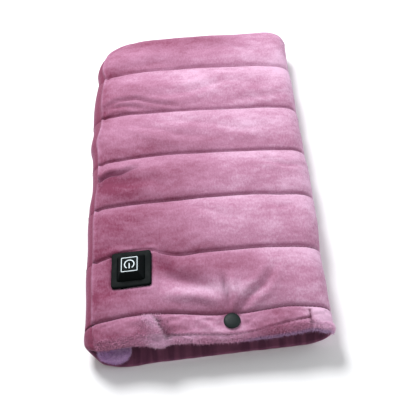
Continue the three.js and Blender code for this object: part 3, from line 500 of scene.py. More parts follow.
# The pouch's surface, as a function of where a point is across (x) and along (y) it
# How far each quilting seam strays from its straight line, at shares of half the width
seamPaths = {
    "places": (-1.0, -0.8, -0.64, -0.48, -0.36, -0.24, 0.0, 0.24, 0.48, 0.64, 0.8, 1.0),
    "stray": (
        (-4.6, -2.7, 0.1, 0.9, 0.7, 0.1, -1.8, -2.2, -0.6, 0.1, -1.6, -3.4),
        (-3.6, -1.0, 2.6, 3.8, 0.6, -2.8, -1.6, -0.9, -0.2, -0.7, -1.7, -3.4),
        (-4.6, -3.3, -2.2, -1.7, -1.5, -1.2, -0.2, 0.4, 0.2, -1.3, -2.0, -3.0),
        (-8.0, -6.4, -4.8, -3.6, -3.1, -2.9, -3.8, -4.1, -4.9, -5.2, -6.2, -7.0),
        (-6.0, -4.4, -2.7, -3.5, -3.6, -3.7, -4.1, -4.9, -5.5, -5.7, -6.9, -8.6),
        (-6.0, -2.7, -0.8, 0.1, 0.3, 0.4, 0.9, -0.4, -1.3, -1.6, -3.6, -6.0),
    ),
}
shape = {
    "crownTop": 6.0,
    "crownBottom": 3.0,
    "crownHem": 1.6,
    "fullness": 0.6,
    "archHeight": 2.5,
    "swellMiddle": 0.6,
    "swellFade": 20.0,
    "farDrops": {"places": ((-78, 172), (76, 172)), "depths": (4.0, 3.6), "reach": (30, 26)},
    "strayDepth": 5.3,
    "rightRoll": (40.0, 40.0),  # where the right side's own roll starts, and over what it grows
    "topDrop": 4.0,
    "sagDepth": 5.5,
    "sagWidth": 38.0,
    "sagLength": 62.0,
    "floor": 0.05,
}
# The left (-1) and right (1) side: the far corner's radius, how far and how sharply the mouth's
# corner is drawn in, how far the channels swell out, the power of the roll, and the outline's stray
sides = {
    -1: {
        "farCorner": 48.0,
        "mouthDraw": 11.0,
        "drawPower": 5,
        "swell": 0.3,
        "rollPower": 2.0,
        "places": (
            -182, -172, -158, -140, -106, -88, -55, -38, -24, 8, 22,
            30, 35, 50, 66, 104, 114, 122, 131, 150, 182,
        ),
        "stray": (
            0.4, 0.4, -0.5, -0.7, 0.9, 0.4, 1.5, 1.0, -0.8, 0.1, 0.8,
            2.5, 2.6, 1.0, 1.8, 0.5, -0.4, -1.3, -0.4, -1.1, -1.1,
        ),
    },
    1: {
        "farCorner": 23.0,
        "mouthDraw": 3.0,
        "drawPower": 2,
        "swell": 0.4,
        "rollPower": 2.7,
        "places": (-182, -165, -145, -110, -80, 40, 140, 182),
        "stray": (-0.5, -1.6, -2.6, -2.6, -0.8, -0.9, -0.9, -0.5),
    },
}


def smooth(share):
    clipped = np.clip(share, 0.0, 1.0)
    return clipped * clipped * (3 - 2 * clipped)


def bell(distance, width, place=0.0):
    return np.exp(-(((distance - place) / width) ** 2))


def curveThrough(xs, places, values):
    # A smooth curve through given points
    places = np.asarray(places, float)
    values = np.asarray(values, float)
    slopes = np.gradient(values, places)
    at = np.clip(np.searchsorted(places, xs) - 1, 0, len(places) - 2)
    width = places[at + 1] - places[at]
    t = np.clip((xs - places[at]) / width, 0.0, 1.0)
    return (
        (2 * t**3 - 3 * t**2 + 1) * values[at]
        + (t**3 - 2 * t**2 + t) * width * slopes[at]
        + (-2 * t**3 + 3 * t**2) * values[at + 1]
        + (t**3 - t**2) * width * slopes[at + 1]
    )


def seamY(k, x):
    straight = pouch["hemSeamY"] + k * pouch["channelPitch"]
    return straight + curveThrough(x / pouch["halfWidth"], seamPaths["places"], seamPaths["stray"][k])


def channelShare(y):
    # 0 on a seam and 1 on the crown between two seams, for the swell of the sides
    along = (y - pouch["hemSeamY"]) / pouch["channelPitch"]
    past = along - pouch["channels"]
    share = np.where(past >= 0, np.minimum(past, 0.5), along - np.floor(along))
    return np.where(along < 0, 0.5, np.sin(np.pi * np.clip(share, 0, 1)) ** shape["fullness"])


def outlineX(y, depth, side):
    own = sides[side]
    radius = own["farCorner"]
    cornerY = pouch["farY"] - radius
    rise = np.clip(y - cornerY, 0, radius - depth)
    rounded = pouch["halfWidth"] - radius + np.sqrt(np.maximum((radius - depth) ** 2 - rise**2, 0))
    t = np.clip((pouch["mouthY"] + pouch["mouthDrawLength"] - y) / pouch["mouthDrawLength"], 0, 1)
    straight = pouch["halfWidth"] - depth - own["mouthDraw"] * t ** own["drawPower"]
    swell = own["swell"] * (channelShare(y) - shape["swellMiddle"])
    swell = swell * smooth((cornerY - y) / shape["swellFade"] + 1)
    swell = swell + curveThrough(y, own["places"], own["stray"])
    swell = swell * np.clip(1 - depth / shape["strayDepth"], 0, 1)
    return side * (np.where(y > cornerY, rounded, straight) + swell)


def edgeDistance(x, y, depth):
    side = np.minimum(x - outlineX(y, depth, -1), outlineX(y, depth, 1) - x)
    distance = np.minimum(side, pouch["farY"] - depth - y)
    for sign, own in sides.items():
        radius = own["farCorner"]
        centreX = sign * (pouch["halfWidth"] - radius)
        centreY = pouch["farY"] - radius
        inCorner = (sign * (x - centreX) > 0) & (y > centreY)
        fromArc = radius - depth - np.hypot(x - centreX, y - centreY)
        distance = np.where(inCorner, fromArc, distance)
    return np.maximum(distance, 0)


def rolled(level, x, y, depth):
    t = np.minimum(edgeDistance(x, y, depth) / (pouch["rollRadius"] - depth), 1)
    start, over = shape["rightRoll"]
    atRight = smooth((x - start) / over) * (level > levels["equator"]) * (np.asarray(depth) == 0)
    power = sides[-1]["rollPower"] + (sides[1]["rollPower"] - sides[-1]["rollPower"]) * atRight
    height = np.maximum(1 - (1 - t) ** power, 0) ** (1 / power)
    return levels["equator"] + (level - levels["equator"]) * height


def hemShare(y):
    return smooth((pouch["hemSeamY"] - y) / (pouch["hemSeamY"] - pouch["mouthY"]))


def sag(x, y):
    along = smooth((pouch["mouthY"] + shape["sagLength"] - y) / shape["sagLength"])
    return shape["sagDepth"] * along * bell(x, shape["sagWidth"], snap["x"])


def arch(x, y):
    across = 1 - np.clip(np.abs(x) / pouch["halfWidth"], 0, 1) ** 2
    fromFar = smooth((pouch["farY"] - y) / pouch["channelPitch"])
    fromHem = smooth((y - pouch["hemSeamY"]) / pouch["channelPitch"])
    return shape["archHeight"] * across * fromFar * fromHem


def unpressed(x, y):
    # Share of a channel's crown that is left near the switch
    distance = np.hypot(x - control["x"], y - control["y"])
    return 1 - control["pressShare"] * bell(distance, control["pressRadius"])


def plateOffset(x, y):
    # Distance outside the switch plate's square, and the height of its underside there
    localX = (x - control["x"]) / math.cos(control["tilt"])
    localY = y - control["y"]
    beyondX = np.maximum(np.abs(localX) - halfPlate, 0)
    beyondY = np.maximum(np.abs(localY) - halfPlate, 0)
    outside = np.hypot(beyondX, beyondY)
    return outside, control["z"] + (x - control["x"]) * math.tan(control["tilt"])


def topLevel(x, y, crown):
    level = levels["topSeam"] + arch(x, y) - shape["topDrop"] * hemShare(y) - sag(x, y)
    level = level + shape["crownTop"] * crown * unpressed(x, y)
    reachX, reachY = shape["farDrops"]["reach"]
    for (cornerX, cornerY), drop in zip(shape["farDrops"]["places"], shape["farDrops"]["depths"]):
        near = np.exp(-(((x - cornerX) / reachX) ** 2) - ((y - cornerY) / reachY) ** 2)
        level = level - drop * crown * near
    outside, underside = plateOffset(x, y)
    near = 1 - smooth((outside - control["seatFrom"]) / control["seatOver"])
    near = near * smooth((seamY(1, x) + control["seamClear"] - y) / control["seamOver"])
    level = level + (underside - layers["gap"] - level) * near
    puff = bell(outside, control["puffWidth"], control["puffAt"])
    return level + control["puff"] * puff * (outside > layers["gap"])


def bottomLevel(x, y, crown):
    return np.maximum(levels["bottomSeam"] - shape["crownBottom"] * crown, shape["floor"])


# Columns run from the sewn ridge at the left over the top, round the right side, under and back
grid = {
    "rollAngles": (0, 14, 28, 40, 49, 54, 59, 68, 79, 90),
    "ridgeStep": 5,
    "rightSeamStep": 3,
    "inner": 36,
    "channelRows": 14,
    "farRows": 18,
    "evenShare": 0.45,  # of the rows in a channel; the rest crowd towards its seams
    "farEvenShare": 0.25,
    "farPower": 1.1,
    "passes": 3,
    "hemPasses": 7,
}


def refined(values):
    middles = (values[:-1] + values[1:]) / 2
    out = np.empty(len(values) + len(middles))
    out[0::2] = values
    out[1::2] = middles
    return out


def columnShares(depth, times):
    angles = np.array(grid["rollAngles"], float)
    steps = np.arange(grid["inner"] + 1, dtype=float)
    for _ in range(times):
        angles, steps = refined(angles), refined(steps)
    roll = (1 - np.cos(np.radians(angles))) * (pouch["rollRadius"] - depth)
    width = 2 * (pouch["halfWidth"] - depth)
    inner = pouch["rollRadius"] - depth
    middle = inner + (width - 2 * inner) * steps / grid["inner"]
    return np.concatenate([roll[:-1], middle, (width - roll[:-1])[::-1]]) / width


def rowShares(times):
    # Each row as a channel number and a share of the way across that channel
    step = np.arange(grid["channelRows"] + 1, dtype=float)
    farStep = np.arange(grid["farRows"] + 1, dtype=float)
    for _ in range(times):
        step, farStep = refined(step), refined(farStep)
    t = step / grid["channelRows"]
    even = grid["evenShare"] * t + (1 - grid["evenShare"]) * (0.5 - 0.5 * np.cos(np.pi * t))
    s = farStep / grid["farRows"]
    crowded = np.sin(0.5 * np.pi * s) ** grid["farPower"]
    far = grid["farEvenShare"] * s + (1 - grid["farEvenShare"]) * crowded
    rows = [(k, share) for k in range(pouch["channels"]) for share in even[:-1]]
    return np.array(rows + [(pouch["channels"], share) for share in far])


def rightSeamColumn(times):
    # Where the right seam stands in the ring, counted from the ridge on
    last = grid["inner"] + 2 * (len(grid["rollAngles"]) - 1)
    return (last - grid["ridgeStep"] + grid["rightSeamStep"]) * 2**times


ridge = {"from": 24.0, "to": 130.0, "ease": 18.0, "shift": 3.2, "place": 9.0, "reach": 8.0}


def ridgeShift(fromLeft, y):
    # The sewn ridge stands further in where the side bulges
    along = smooth((y - ridge["from"]) / ridge["ease"]) * smooth((ridge["to"] - y) / ridge["ease"])
    near = bell(fromLeft, ridge["reach"], ridge["place"])
    return ridge["shift"] * along * np.clip(fromLeft / ridge["place"], 0, 1) * near


def sheetPoints(depth, times):
    # Plan positions of a layer's grid, and each point's share across its channel
    shares = columnShares(depth, times)[None, :]
    rows = rowShares(times)
    channel = rows[:, 0].astype(int)
    share = rows[:, 1][:, None]
    x = (shares * 2 - 1) * pouch["halfWidth"] * np.ones((len(rows), 1))
    y = np.zeros_like(x)
    for _ in range(grid["passes"]):
        for k in range(pouch["channels"] + 1):
            here = channel == k
            near = seamY(k, x[here])
            if k < pouch["channels"]:
                beyond = seamY(k + 1, x[here])
            else:
                beyond = pouch["farY"] - depth
            y[here] = near + (beyond - near) * share[here]
        left, right = outlineX(y, depth, -1), outlineX(y, depth, 1)
        x = left + (right - left) * shares
        x = x + ridgeShift(x - left, y)
    crownShare = np.where(
        channel[:, None] < pouch["channels"],
        share,
        np.minimum((y - seamY(pouch["channels"], x)) / pouch["channelPitch"], 0.5),
    )
    crown = np.sin(np.pi * np.clip(crownShare, 0, 1)) ** shape["fullness"]
    seamGap = np.abs(y - np.where(share < 0.5, nearSeam(channel, x, 0), nearSeam(channel, x, 1)))
    return x, y, crown, seamGap


def nearSeam(channel, x, beyond):
    out = np.zeros_like(x)
    for k in range(pouch["channels"] + 1):
        here = channel == k
        out[here] = seamY(min(k + beyond, pouch["channels"]), x[here])
    return out


def ringOf(top, bottom, times):
    # Joins a top and a bottom grid at the outline, starting at the ridge
    ridge = grid["ridgeStep"] * 2**times
    return np.concatenate([top[:, ridge:], bottom[:, -2:0:-1], top[:, :ridge]], axis=1)


def layerRing(depth, times, topOf, bottomOf):
    x, y, crown, seamGap = sheetPoints(depth, times)
    top = np.stack([x, y, rolled(topOf(x, y, crown), x, y, depth)], axis=-1)
    bottom = np.stack([x, y, rolled(bottomOf(x, y, crown), x, y, depth)], axis=-1)
    return ringOf(top, bottom, times), ringOf(seamGap, seamGap, times)


def ringNormals(ring, sewnRow):
    # Across the sewn row, where another piece goes on, the normal doesn't lean along the pouch
    across = np.roll(ring, -1, axis=1) - np.roll(ring, 1, axis=1)
    along = np.gradient(ring, axis=0)
    normal = np.cross(across, along)
    normal[sewnRow, :, 1] = 0
    length = np.linalg.norm(normal, axis=-1, keepdims=True)
    return normal / np.maximum(length, 1e-9)


def softNoise(shapeOf, cells, seed):
    # Smooth random hills: a coarse seeded grid, read between its points with a cosine
    values = np.random.default_rng(seed).uniform(-1, 1, (cells[0] + 3, cells[1] + 3))
    rows = np.linspace(0, cells[0], shapeOf[0])
    cols = np.linspace(0, cells[1], shapeOf[1])
    r, c = np.floor(rows).astype(int), np.floor(cols).astype(int)
    fr, fc = smooth(rows - r)[:, None], smooth(cols - c)[None, :]
    a = values[np.ix_(r, c)] * (1 - fc) + values[np.ix_(r, c + 1)] * fc
    b = values[np.ix_(r + 1, c)] * (1 - fc) + values[np.ix_(r + 1, c + 1)] * fc
    return a * (1 - fr) + b * fr


# Creases that the photographed cloth shows: points in plan, width, depth, and how far a lip stands up,
# with the share and the spread of their shade where those aren't the usual ones
creases = (
    {"points": ((-82, 121), (-64, 131), (-33, 133), (-2, 124)), "width": 6.0, "depth": 0.8, "lip": 0.4},
    {"points": ((-1, 148), (36, 152), (73, 140)), "width": 6.0, "depth": 0.7, "lip": 0.3},
    {
        "points": ((-92, 72), (-75, 80), (-57, 81), (-40, 74), (-18, 69)),
        "width": 2.2, "depth": 1.7, "lip": 0.8, "shade": 0.6, "spread": 1.0,
    },
    {"points": ((-90, 68), (-81, 72), (-68, 73), (-51, 68)), "width": 2.0, "depth": 1.2, "lip": 0.5},
    {
        "points": ((-75, 89), (-40, 84), (-6, 85), (32, 98), (49, 96), (69, 88)),
        "width": 4.5, "depth": 1.0, "lip": 0.6,
    },
    {"points": ((34, 71), (54, 73), (72, 74), (93, 77)), "width": 3.5, "depth": 0.7, "lip": 0.3},
    {"points": ((-44, 49), (-15, 48), (15, 41), (44, 31), (70, 34)), "width": 4.5, "depth": 0.9, "lip": 0.4},
    {"points": ((-59, 44), (-35, 39), (-19, 29), (11, 24)), "width": 4.0, "depth": 1.1, "lip": 0.3},
    {"points": ((-79, 44), (-57, 36), (-43, 26), (-20, 16)), "width": 3.5, "depth": -0.8, "lip": 0.0},
    {
        "points": ((-100, -21), (-91, -17.5), (-86, -16), (-80, -14), (-71, -14), (-57, -8)),
        "width": 2.5, "depth": 2.4, "lip": 0.9, "shade": 1.3, "spread": 1.5,
    },
    {"points": ((-77, -24), (-62, -25), (-41, -22), (-28, -33)), "width": 5.0, "depth": 1.1, "lip": 0.5},
    {"points": ((54, -6), (69, -13), (81, -18), (97, -16)), "width": 2.6, "depth": 1.1, "lip": 0.6},
    {"points": ((42, -11), (57, -16), (68, -20), (81, -28)), "width": 3.0, "depth": -0.7, "lip": 0.0},
    {"points": ((-11, -53), (8, -61), (29, -72)), "width": 4.5, "depth": 0.8, "lip": 0.4},
    {"points": ((58, -54), (68, -63), (79, -61)), "width": 3.0, "depth": 0.7, "lip": 0.3},
    {"points": ((-34, -104), (-28, -122), (-8, -130), (10, -137)), "width": 8.0, "depth": 3.6, "lip": 0.0},
    {"points": ((-34, -141), (-6, -144), (10, -148)), "width": 4.2, "depth": -2.9, "lip": 0.0},
    {"points": ((13, -128), (16, -142), (17, -156)), "width": 2.4, "depth": 3.2, "lip": 0.3, "shade": 0.5},
    {"points": ((21, -128), (22, -142), (22, -156)), "width": 3.0, "depth": -2.5, "lip": 0.0},
    {"points": ((26, -156), (34, -146), (47, -137), (56, -121)), "width": 3.2, "depth": 2.2, "lip": 1.0},
)


creasing = {"strength": 1.25, "lipAt": 2.1, "endShare": 0.05, "fade": 0.7, "shade": 0.15, "spread": 0.6}


def creaseHeight(x, y):
    height = np.zeros_like(x)
    shade = np.zeros_like(x)
    for crease in creases:
        points = np.array(crease["points"], float)
        total = len(points) - 1
        best = np.full(x.shape, 1e9)
        along = np.zeros_like(x)
        for k in range(total):
            a, b = points[k], points[k + 1]
            step = b - a
            t = np.clip(((x - a[0]) * step[0] + (y - a[1]) * step[1]) / (step @ step), 0, 1)
            distance = np.hypot(x - a[0] - t * step[0], y - a[1] - t * step[1])
            nearer = distance < best
            best = np.where(nearer, distance, best)
            along = np.where(nearer, (k + t) / total, along)
        ends = creasing["endShare"]
        fade = np.sin(np.pi * np.clip(along * (1 - 2 * ends) + ends, 0, 1)) ** creasing["fade"]
        hollow = bell(best, crease["width"])
        raisedLips = bell(best, crease["width"], creasing["lipAt"] * crease["width"])
        height += creasing["strength"] * fade * (crease["lip"] * raisedLips - crease["depth"] * hollow)
        darkest = crease.get("shade", creasing["shade"] * max(crease["depth"], 0))
        spread = crease.get("spread", creasing["spread"]) * crease["width"]
        shade += fade * darkest * bell(best, spread)
    return height, shade


# Patches of painted light and shade: middle and reach across and along, and how much lighter or darker
shadingPatches = (
    (0, 176, 130, 26, -1.7),
    (-92, 92, 10, 48, -0.8),
    (-72, -18, 52, 17, -1.1),
    (-82, -62, 62, 26, -1.3),
    (-22, -112, 50, 14, -1.4),
    (-12, -139, 42, 10, 1.6),
    (32, -114, 20, 13, -1.2),
    (-84, -136, 36, 18, -1.2),
)


def paintedPatches(x, y):
    paintedShading = np.zeros_like(x)
    for middleX, middleY, reachX, reachY, amount in shadingPatches:
        paintedShading += amount * np.exp(-(((x - middleX) / reachX) ** 2) - ((y - middleY) / reachY) ** 2)
    return paintedShading


# The cloth simulation, and where the skin is held while it is blown up
cloth = {
    "pressure": 3.2,
    "frames": 20,
    "furthest": 3.0,
    "quality": 6,
    "mass": 0.25,
    "stretch": 18.0,
    "shear": 8.0,
    "bending": 0.6,
    "seamHold": 3.0,
    "plateHold": (1.0, 8.0),
    "lowHold": 8.0,
    "sideHold": 0.7,
    "sideHigh": 9.0,
    "sideFade": 6.0,
    "ridgeHold": 4,
}


def simulated(ring, seamGap):
    # The outer skin of the pouch blown up between its seams, as the padding does
    rows, columns = ring.shape[:2]
    x, y, z = ring[..., 0], ring[..., 1], ring[..., 2]
    outside, _ = plateOffset(x, y)
    plateFrom, plateOver = cloth["plateHold"]
    hold = 1 - smooth(seamGap / cloth["seamHold"])
    hold = np.maximum(hold, 1 - smooth((outside - plateFrom) / plateOver))
    hold = np.maximum(hold, np.where(z < cloth["lowHold"], 1.0, 0.0))
    hold[0] = hold[-1] = 1.0
    low = smooth((levels["equator"] + cloth["sideHigh"] - z) / cloth["sideFade"])
    hold = np.maximum(hold, cloth["sideHold"] * low)
    hold[:, 0] = hold[:, rightSeamColumn(0)] = 1.0
    hold[:, -grid["ridgeStep"] - cloth["ridgeHold"] :] = 1.0
    faces = []
    for j in range(rows - 1):
        for i in range(columns):
            a, b = j * columns + i, j * columns + (i + 1) % columns
            faces.append((a, b, b + columns, a + columns))
    mesh = bpy.data.meshes.new("skin_in_work")
    mesh.from_pydata((ring.reshape(-1, 3) * toMetres).tolist(), [], faces)
    skin = bpy.data.objects.new("skin_in_work", mesh)
    bpy.context.scene.collection.objects.link(skin)
    group = skin.vertex_groups.new(name="held")
    for index, weight in enumerate(hold.ravel()):
        group.add([index], float(weight), "REPLACE")
    modifier = skin.modifiers.new("cloth", "CLOTH")
    settings = modifier.settings
    settings.vertex_group_mass = "held"
    settings.use_pressure = True
    settings.uniform_pressure_force = cloth["pressure"]
    settings.quality = cloth["quality"]
    settings.mass = cloth["mass"]
    settings.tension_stiffness = settings.compression_stiffness = cloth["stretch"]
    settings.shear_stiffness = cloth["shear"]
    settings.bending_stiffness = cloth["bending"]
    settings.effector_weights.gravity = 0
    modifier.collision_settings.use_collision = False
    scene = bpy.context.scene
    for number in range(1, cloth["frames"] + 1):
        scene.frame_set(number)
    evaluated = skin.evaluated_get(bpy.context.evaluated_depsgraph_get())
    moved = np.empty(rows * columns * 3)
    evaluated.data.vertices.foreach_get("co", moved)
    moved = moved.reshape(rows, columns, 3) / toMetres - ring
    bpy.data.objects.remove(skin)
    bpy.data.meshes.remove(mesh)
    scene.frame_set(1)
    length = np.linalg.norm(moved, axis=-1, keepdims=True)
    cap = cloth["furthest"] * np.tanh(length / cloth["furthest"])
    return moved * cap / np.maximum(length, 1e-9)


def twiceAsFine(field):
    # Puts a point between each two rows and each two columns, on a smooth curve through the old ones
    def along(values, cyclic):
        if cyclic:
            before, after, beyond = np.roll(values, 1, 0), np.roll(values, -1, 0), np.roll(values, -2, 0)
            middle = (9 * (values + after) - before - beyond) / 16
            out = np.empty((2 * len(values), *values.shape[1:]))
        else:
            ends = np.concatenate([values[:1], values, values[-1:]])
            middle = (9 * (ends[1:-2] + ends[2:-1]) - ends[:-3] - ends[3:]) / 16
            out = np.empty((2 * len(values) - 1, *values.shape[1:]))
        out[0::2] = values
        out[1::2] = middle
        return out

    return np.swapaxes(along(np.swapaxes(along(field, False), 0, 1), True), 0, 1)


def meshObject(name, points, faces, material, values=None):
    mesh = bpy.data.meshes.new(name)
    mesh.from_pydata((np.asarray(points).reshape(-1, 3) * toMetres).tolist(), [], faces)
    mesh.polygons.foreach_set("use_smooth", [True] * len(mesh.polygons))
    for key, numbers in (values or {}).items():
        attribute = mesh.attributes.new(key, "FLOAT", "POINT")
        attribute.data.foreach_set("value", np.asarray(numbers, np.float32).ravel())
    mesh.materials.append(material)
    mesh.update()
    piece = bpy.data.objects.new(name, mesh)
    bpy.context.scene.collection.objects.link(piece)
    return piece


def closedLayer(name, outer, inner, material, keep=None, values=None):
    # A closed body between two grids of the same size, with rims wherever faces end
    rows, columns = outer.shape[:2]
    count = rows * columns
    index = np.arange(count).reshape(rows, columns)
    quads = np.stack([index[:-1, :-1], index[:-1, 1:], index[1:, 1:], index[1:, :-1]], axis=-1)
    if keep is not None:
        quads = quads[keep]
    quads = quads.reshape(-1, 4)
    edges = {}
    for quad in quads.tolist():
        for k in range(4):
            edges[(quad[k], quad[(k + 1) % 4])] = True
    rims = [(b, a, a + count, b + count) for a, b in edges if (b, a) not in edges]
    faces = quads.tolist() + (quads[:, ::-1] + count).tolist() + rims
    used = np.unique(np.array([v for face in faces for v in face]))
    renumber = np.full(2 * count, -1)
    renumber[used] = np.arange(len(used))
    points = np.concatenate([outer.reshape(-1, 3), inner.reshape(-1, 3)])[used]
    faces = [[int(renumber[v]) for v in face] for face in faces]
    values = {key: np.concatenate([v.ravel(), v.ravel()])[used] for key, v in (values or {}).items()}
    # The inner side is marked, where the material paints shade and no fibres grow
    values["inside"] = (used >= count).astype(float)
    return meshObject(name, points, faces, material, values)


def squareHole(ring, half):
    # Which faces lie outside a square of the switch's frame, on the upper side
    x = (ring[..., 0] - control["x"]) / math.cos(control["tilt"])
    y = ring[..., 1] - control["y"]
    inside = (np.abs(x) < half) & (np.abs(y) < half) & (ring[..., 2] > levels["equator"])
    touched = inside[:-1, :-1] | inside[1:, :-1] | inside[:-1, 1:] | inside[1:, 1:]
    return ~touched


# Hills and puckers of the skin: cells along and round, seed, height, and how near a seam they start
relief = {
    "wide": {"cells": (26, 14), "seed": 3, "height": 0.45, "clear": 8.0},
    "fine": {"cells": (70, 60), "seed": 5, "height": 0.12, "clear": 6.0},
    "puckers": {"cells": (12, 110), "seed": 7, "height": 0.16, "place": 3.5, "reach": 4.0},
    "underShare": 0.1,
    "topFade": 6.0,
    "plateClear": 8.0,
    "creaseClear": 3.0,
}
# The dip and the painted shade of the fold at the seams, the sewn ridge at the left as height, place and
# width, and the smooth strip below it, which starts some columns before the ridge's own and is full after
# some more
seams = {
    "dip": 1.5,
    "dipWidth": 1.1,
    "underShare": 0.3,
    "hemWidth": 4.0,
    "hemWeaker": 0.3,
    "foldShade": 0.5,
    "foldShadeWidth": 0.8,
    "darkest": 0.85,
    "ridge": (1.5, 0.0, 1.3),
    "besideRidge": (-0.5, 3.0, 1.2),
    # Painted light on the ridge's line; further down, painted shade on the strip below it and the share of
    # the painted patches it keeps
    "ridgeLight": 1.0,
    "strip": (8, 5),
    "stripLift": 0.05,
    "stripShade": 1.7,
    "stripPatchShare": 0.5,
}


print("outer skin")
ring, seamGap = layerRing(0.0, 1, topLevel, bottomLevel)
print("cloth simulation")
coarse, coarseGap = layerRing(0.0, 0, topLevel, bottomLevel)
ring = ring + twiceAsFine(simulated(coarse, coarseGap))
normals = ringNormals(ring, 0)
padded = ring.copy()
rightSeam = rightSeamColumn(1)
onTop = smooth((ring[..., 2] - levels["equator"]) / relief["topFade"])
hillsWide, hillsFine, puckers = (
    softNoise(ring.shape[:2], relief[kind]["cells"], relief[kind]["seed"]) * relief[kind]["height"]
    for kind in ("wide", "fine", "puckers")
)
outside, _ = plateOffset(ring[..., 0], ring[..., 1])
awayFromPlate = smooth(outside / relief["plateClear"])
lift = (
    hillsWide * smooth(seamGap / relief["wide"]["clear"])
    + hillsFine * smooth(seamGap / relief["fine"]["clear"])
    + puckers * bell(seamGap, relief["puckers"]["reach"], relief["puckers"]["place"])
)
lift = lift * (relief["underShare"] + (1 - relief["underShare"]) * onTop) * awayFromPlate
creaseLift, creaseShade = creaseHeight(ring[..., 0], ring[..., 1])
lift = lift + creaseLift * onTop * awayFromPlate * smooth(seamGap / relief["creaseClear"])

# Seams dip in, less under the pouch and at the hem's seam
atHem = 1 - seams["hemWeaker"] * bell(ring[..., 1], seams["hemWidth"], seamY(0, ring[..., 0]))
dip = seams["dip"] * bell(seamGap, seams["dipWidth"])
lift = lift - dip * (seams["underShare"] + (1 - seams["underShare"]) * onTop) * atHem
around = np.arange(ring.shape[1])
stripStart, stripOver = seams["strip"]
strip = smooth((around - ring.shape[1] + 2 * grid["ridgeStep"] + stripStart) / stripOver) * np.ones_like(lift)
lift = lift * (1 - (1 - seams["stripLift"]) * strip)
fromRidge = np.minimum(around, ring.shape[1] - around)[None, :]
for height, place, width in (seams["ridge"], seams["besideRidge"]):
    lift = lift + height * bell(fromRidge, width, place)
lift[-1] = 0
skin = ring + normals * lift[..., None]
skin[..., 2] = np.maximum(skin[..., 2], shape["floor"])

# What the plush's material reads: painted shade in the seams and creases, and painted light and shade on the
# pile
foldShade = seams["foldShade"] * bell(seamGap, seams["foldShadeWidth"]) * atHem + creaseShade
foldShade = np.clip(foldShade, 0, seams["darkest"]) * (1 - strip)
# Painted light and shade: lighter on slopes that face the far end, a light line on the ridge, darker on the
# strip below it, and painted patches
paintedShading = normals[..., 1] * onTop * (1 - strip) - seams["stripShade"] * strip
paintedShading = paintedShading + seams["ridgeLight"] * bell(fromRidge, seams["ridge"][2])
paintedShading = paintedShading + paintedPatches(ring[..., 0], ring[..., 1]) * onTop * (1 - seams["stripPatchShare"] * strip)
under = np.maximum(layers["cover"], layers["thinnest"] - lift)[..., None]
inner = padded - normals * under


def widest(values, times):
    # The largest value within a few grid steps
    for _ in range(times):
        values = np.maximum(values, np.maximum(np.roll(values, 1, 1), np.roll(values, -1, 1)))
        values[1:-1] = np.maximum(values[1:-1], np.maximum(values[:-2], values[2:]))
    return values


def besides(values, start):
    # The columns from the right seam under the pouch and back to the ridge
    return np.concatenate([values[:, start:], values[:, :1]], axis=1)


def clearOf(points, middle, radius, where=True):
    # Which faces of a grid stay clear of a round hole
    gap = (np.hypot(points[..., 0] - middle[0], points[..., 1] - middle[1]) < radius) & where
    return ~(gap[:-1, :-1] | gap[1:, :-1] | gap[:-1, 1:] | gap[1:, 1:])


exitHoles = {"cover": 4.5, "padding": 6.5}


def clearOfExit(points, radius):
    # Only faces wholly within the radius go, so the grommet's flange covers the opening
    near = np.hypot(points[..., 0] - exitPlace[0], points[..., 2] - exitPlace[1]) < radius
    near = near & (points[..., 1] > pouch["farY"] - pouch["rollRadius"] / 2)
    return ~(near[:-1, :-1] & near[1:, :-1] & near[:-1, 1:] & near[1:, 1:])


print("cover panels")
upper = slice(0, rightSeam + 1)
coverTop = closedLayer(
    "quilted_upper_panel",
    skin[:, upper],
    inner[:, upper],
    finishes["plush"],
    squareHole(skin[:, upper], control["coverHole"]) & clearOfExit(skin[:, upper], exitHoles["cover"]),
    {"foldShade": foldShade[:, upper], "paintedShading": paintedShading[:, upper]},
)
coverBottom = closedLayer(
    "quilted_lower_panel",
    besides(skin, rightSeam),
    besides(inner, rightSeam),
    finishes["plush"],
    clearOfExit(besides(skin, rightSeam), exitHoles["cover"]),
    {"foldShade": besides(foldShade, rightSeam), "paintedShading": besides(paintedShading, rightSeam)},
)

print("padding")
padNearEnd = boxOf("heating_pad_top")[0][1]
padClear = 4.0  # how far before the pad the padding starts to sag with the cloth
paddingOuter = (padded - normals * (widest(under, 3) + layers["gap"]))[::2, ::2]
paddingInner, _ = layerRing(
    layers["cover"] + layers["gap"] + layers["waddingSide"],
    0,
    lambda x, y, crown: levels["paddingTop"] - sag(x, y) * smooth((padNearEnd - y) / padClear),
    lambda x, y, crown: levels["paddingBottom"] + 0 * x,
)
paddingUpper = slice(0, rightSeam // 2 + 1)
paddingTop = closedLayer(
    "upper_padding",
    paddingOuter[:, paddingUpper],
    paddingInner[:, paddingUpper],
    finishes["padding"],
    squareHole(paddingOuter[:, paddingUpper], control["paddingHole"])
    & clearOfExit(paddingOuter[:, paddingUpper], exitHoles["padding"]),
)
paddingBottom = closedLayer(
    "lower_padding",
    besides(paddingOuter, rightSeam // 2),
    besides(paddingInner, rightSeam // 2),
    finishes["padding"],
    clearOfExit(besides(paddingOuter, rightSeam // 2), exitHoles["padding"]),
)


print("mouth")
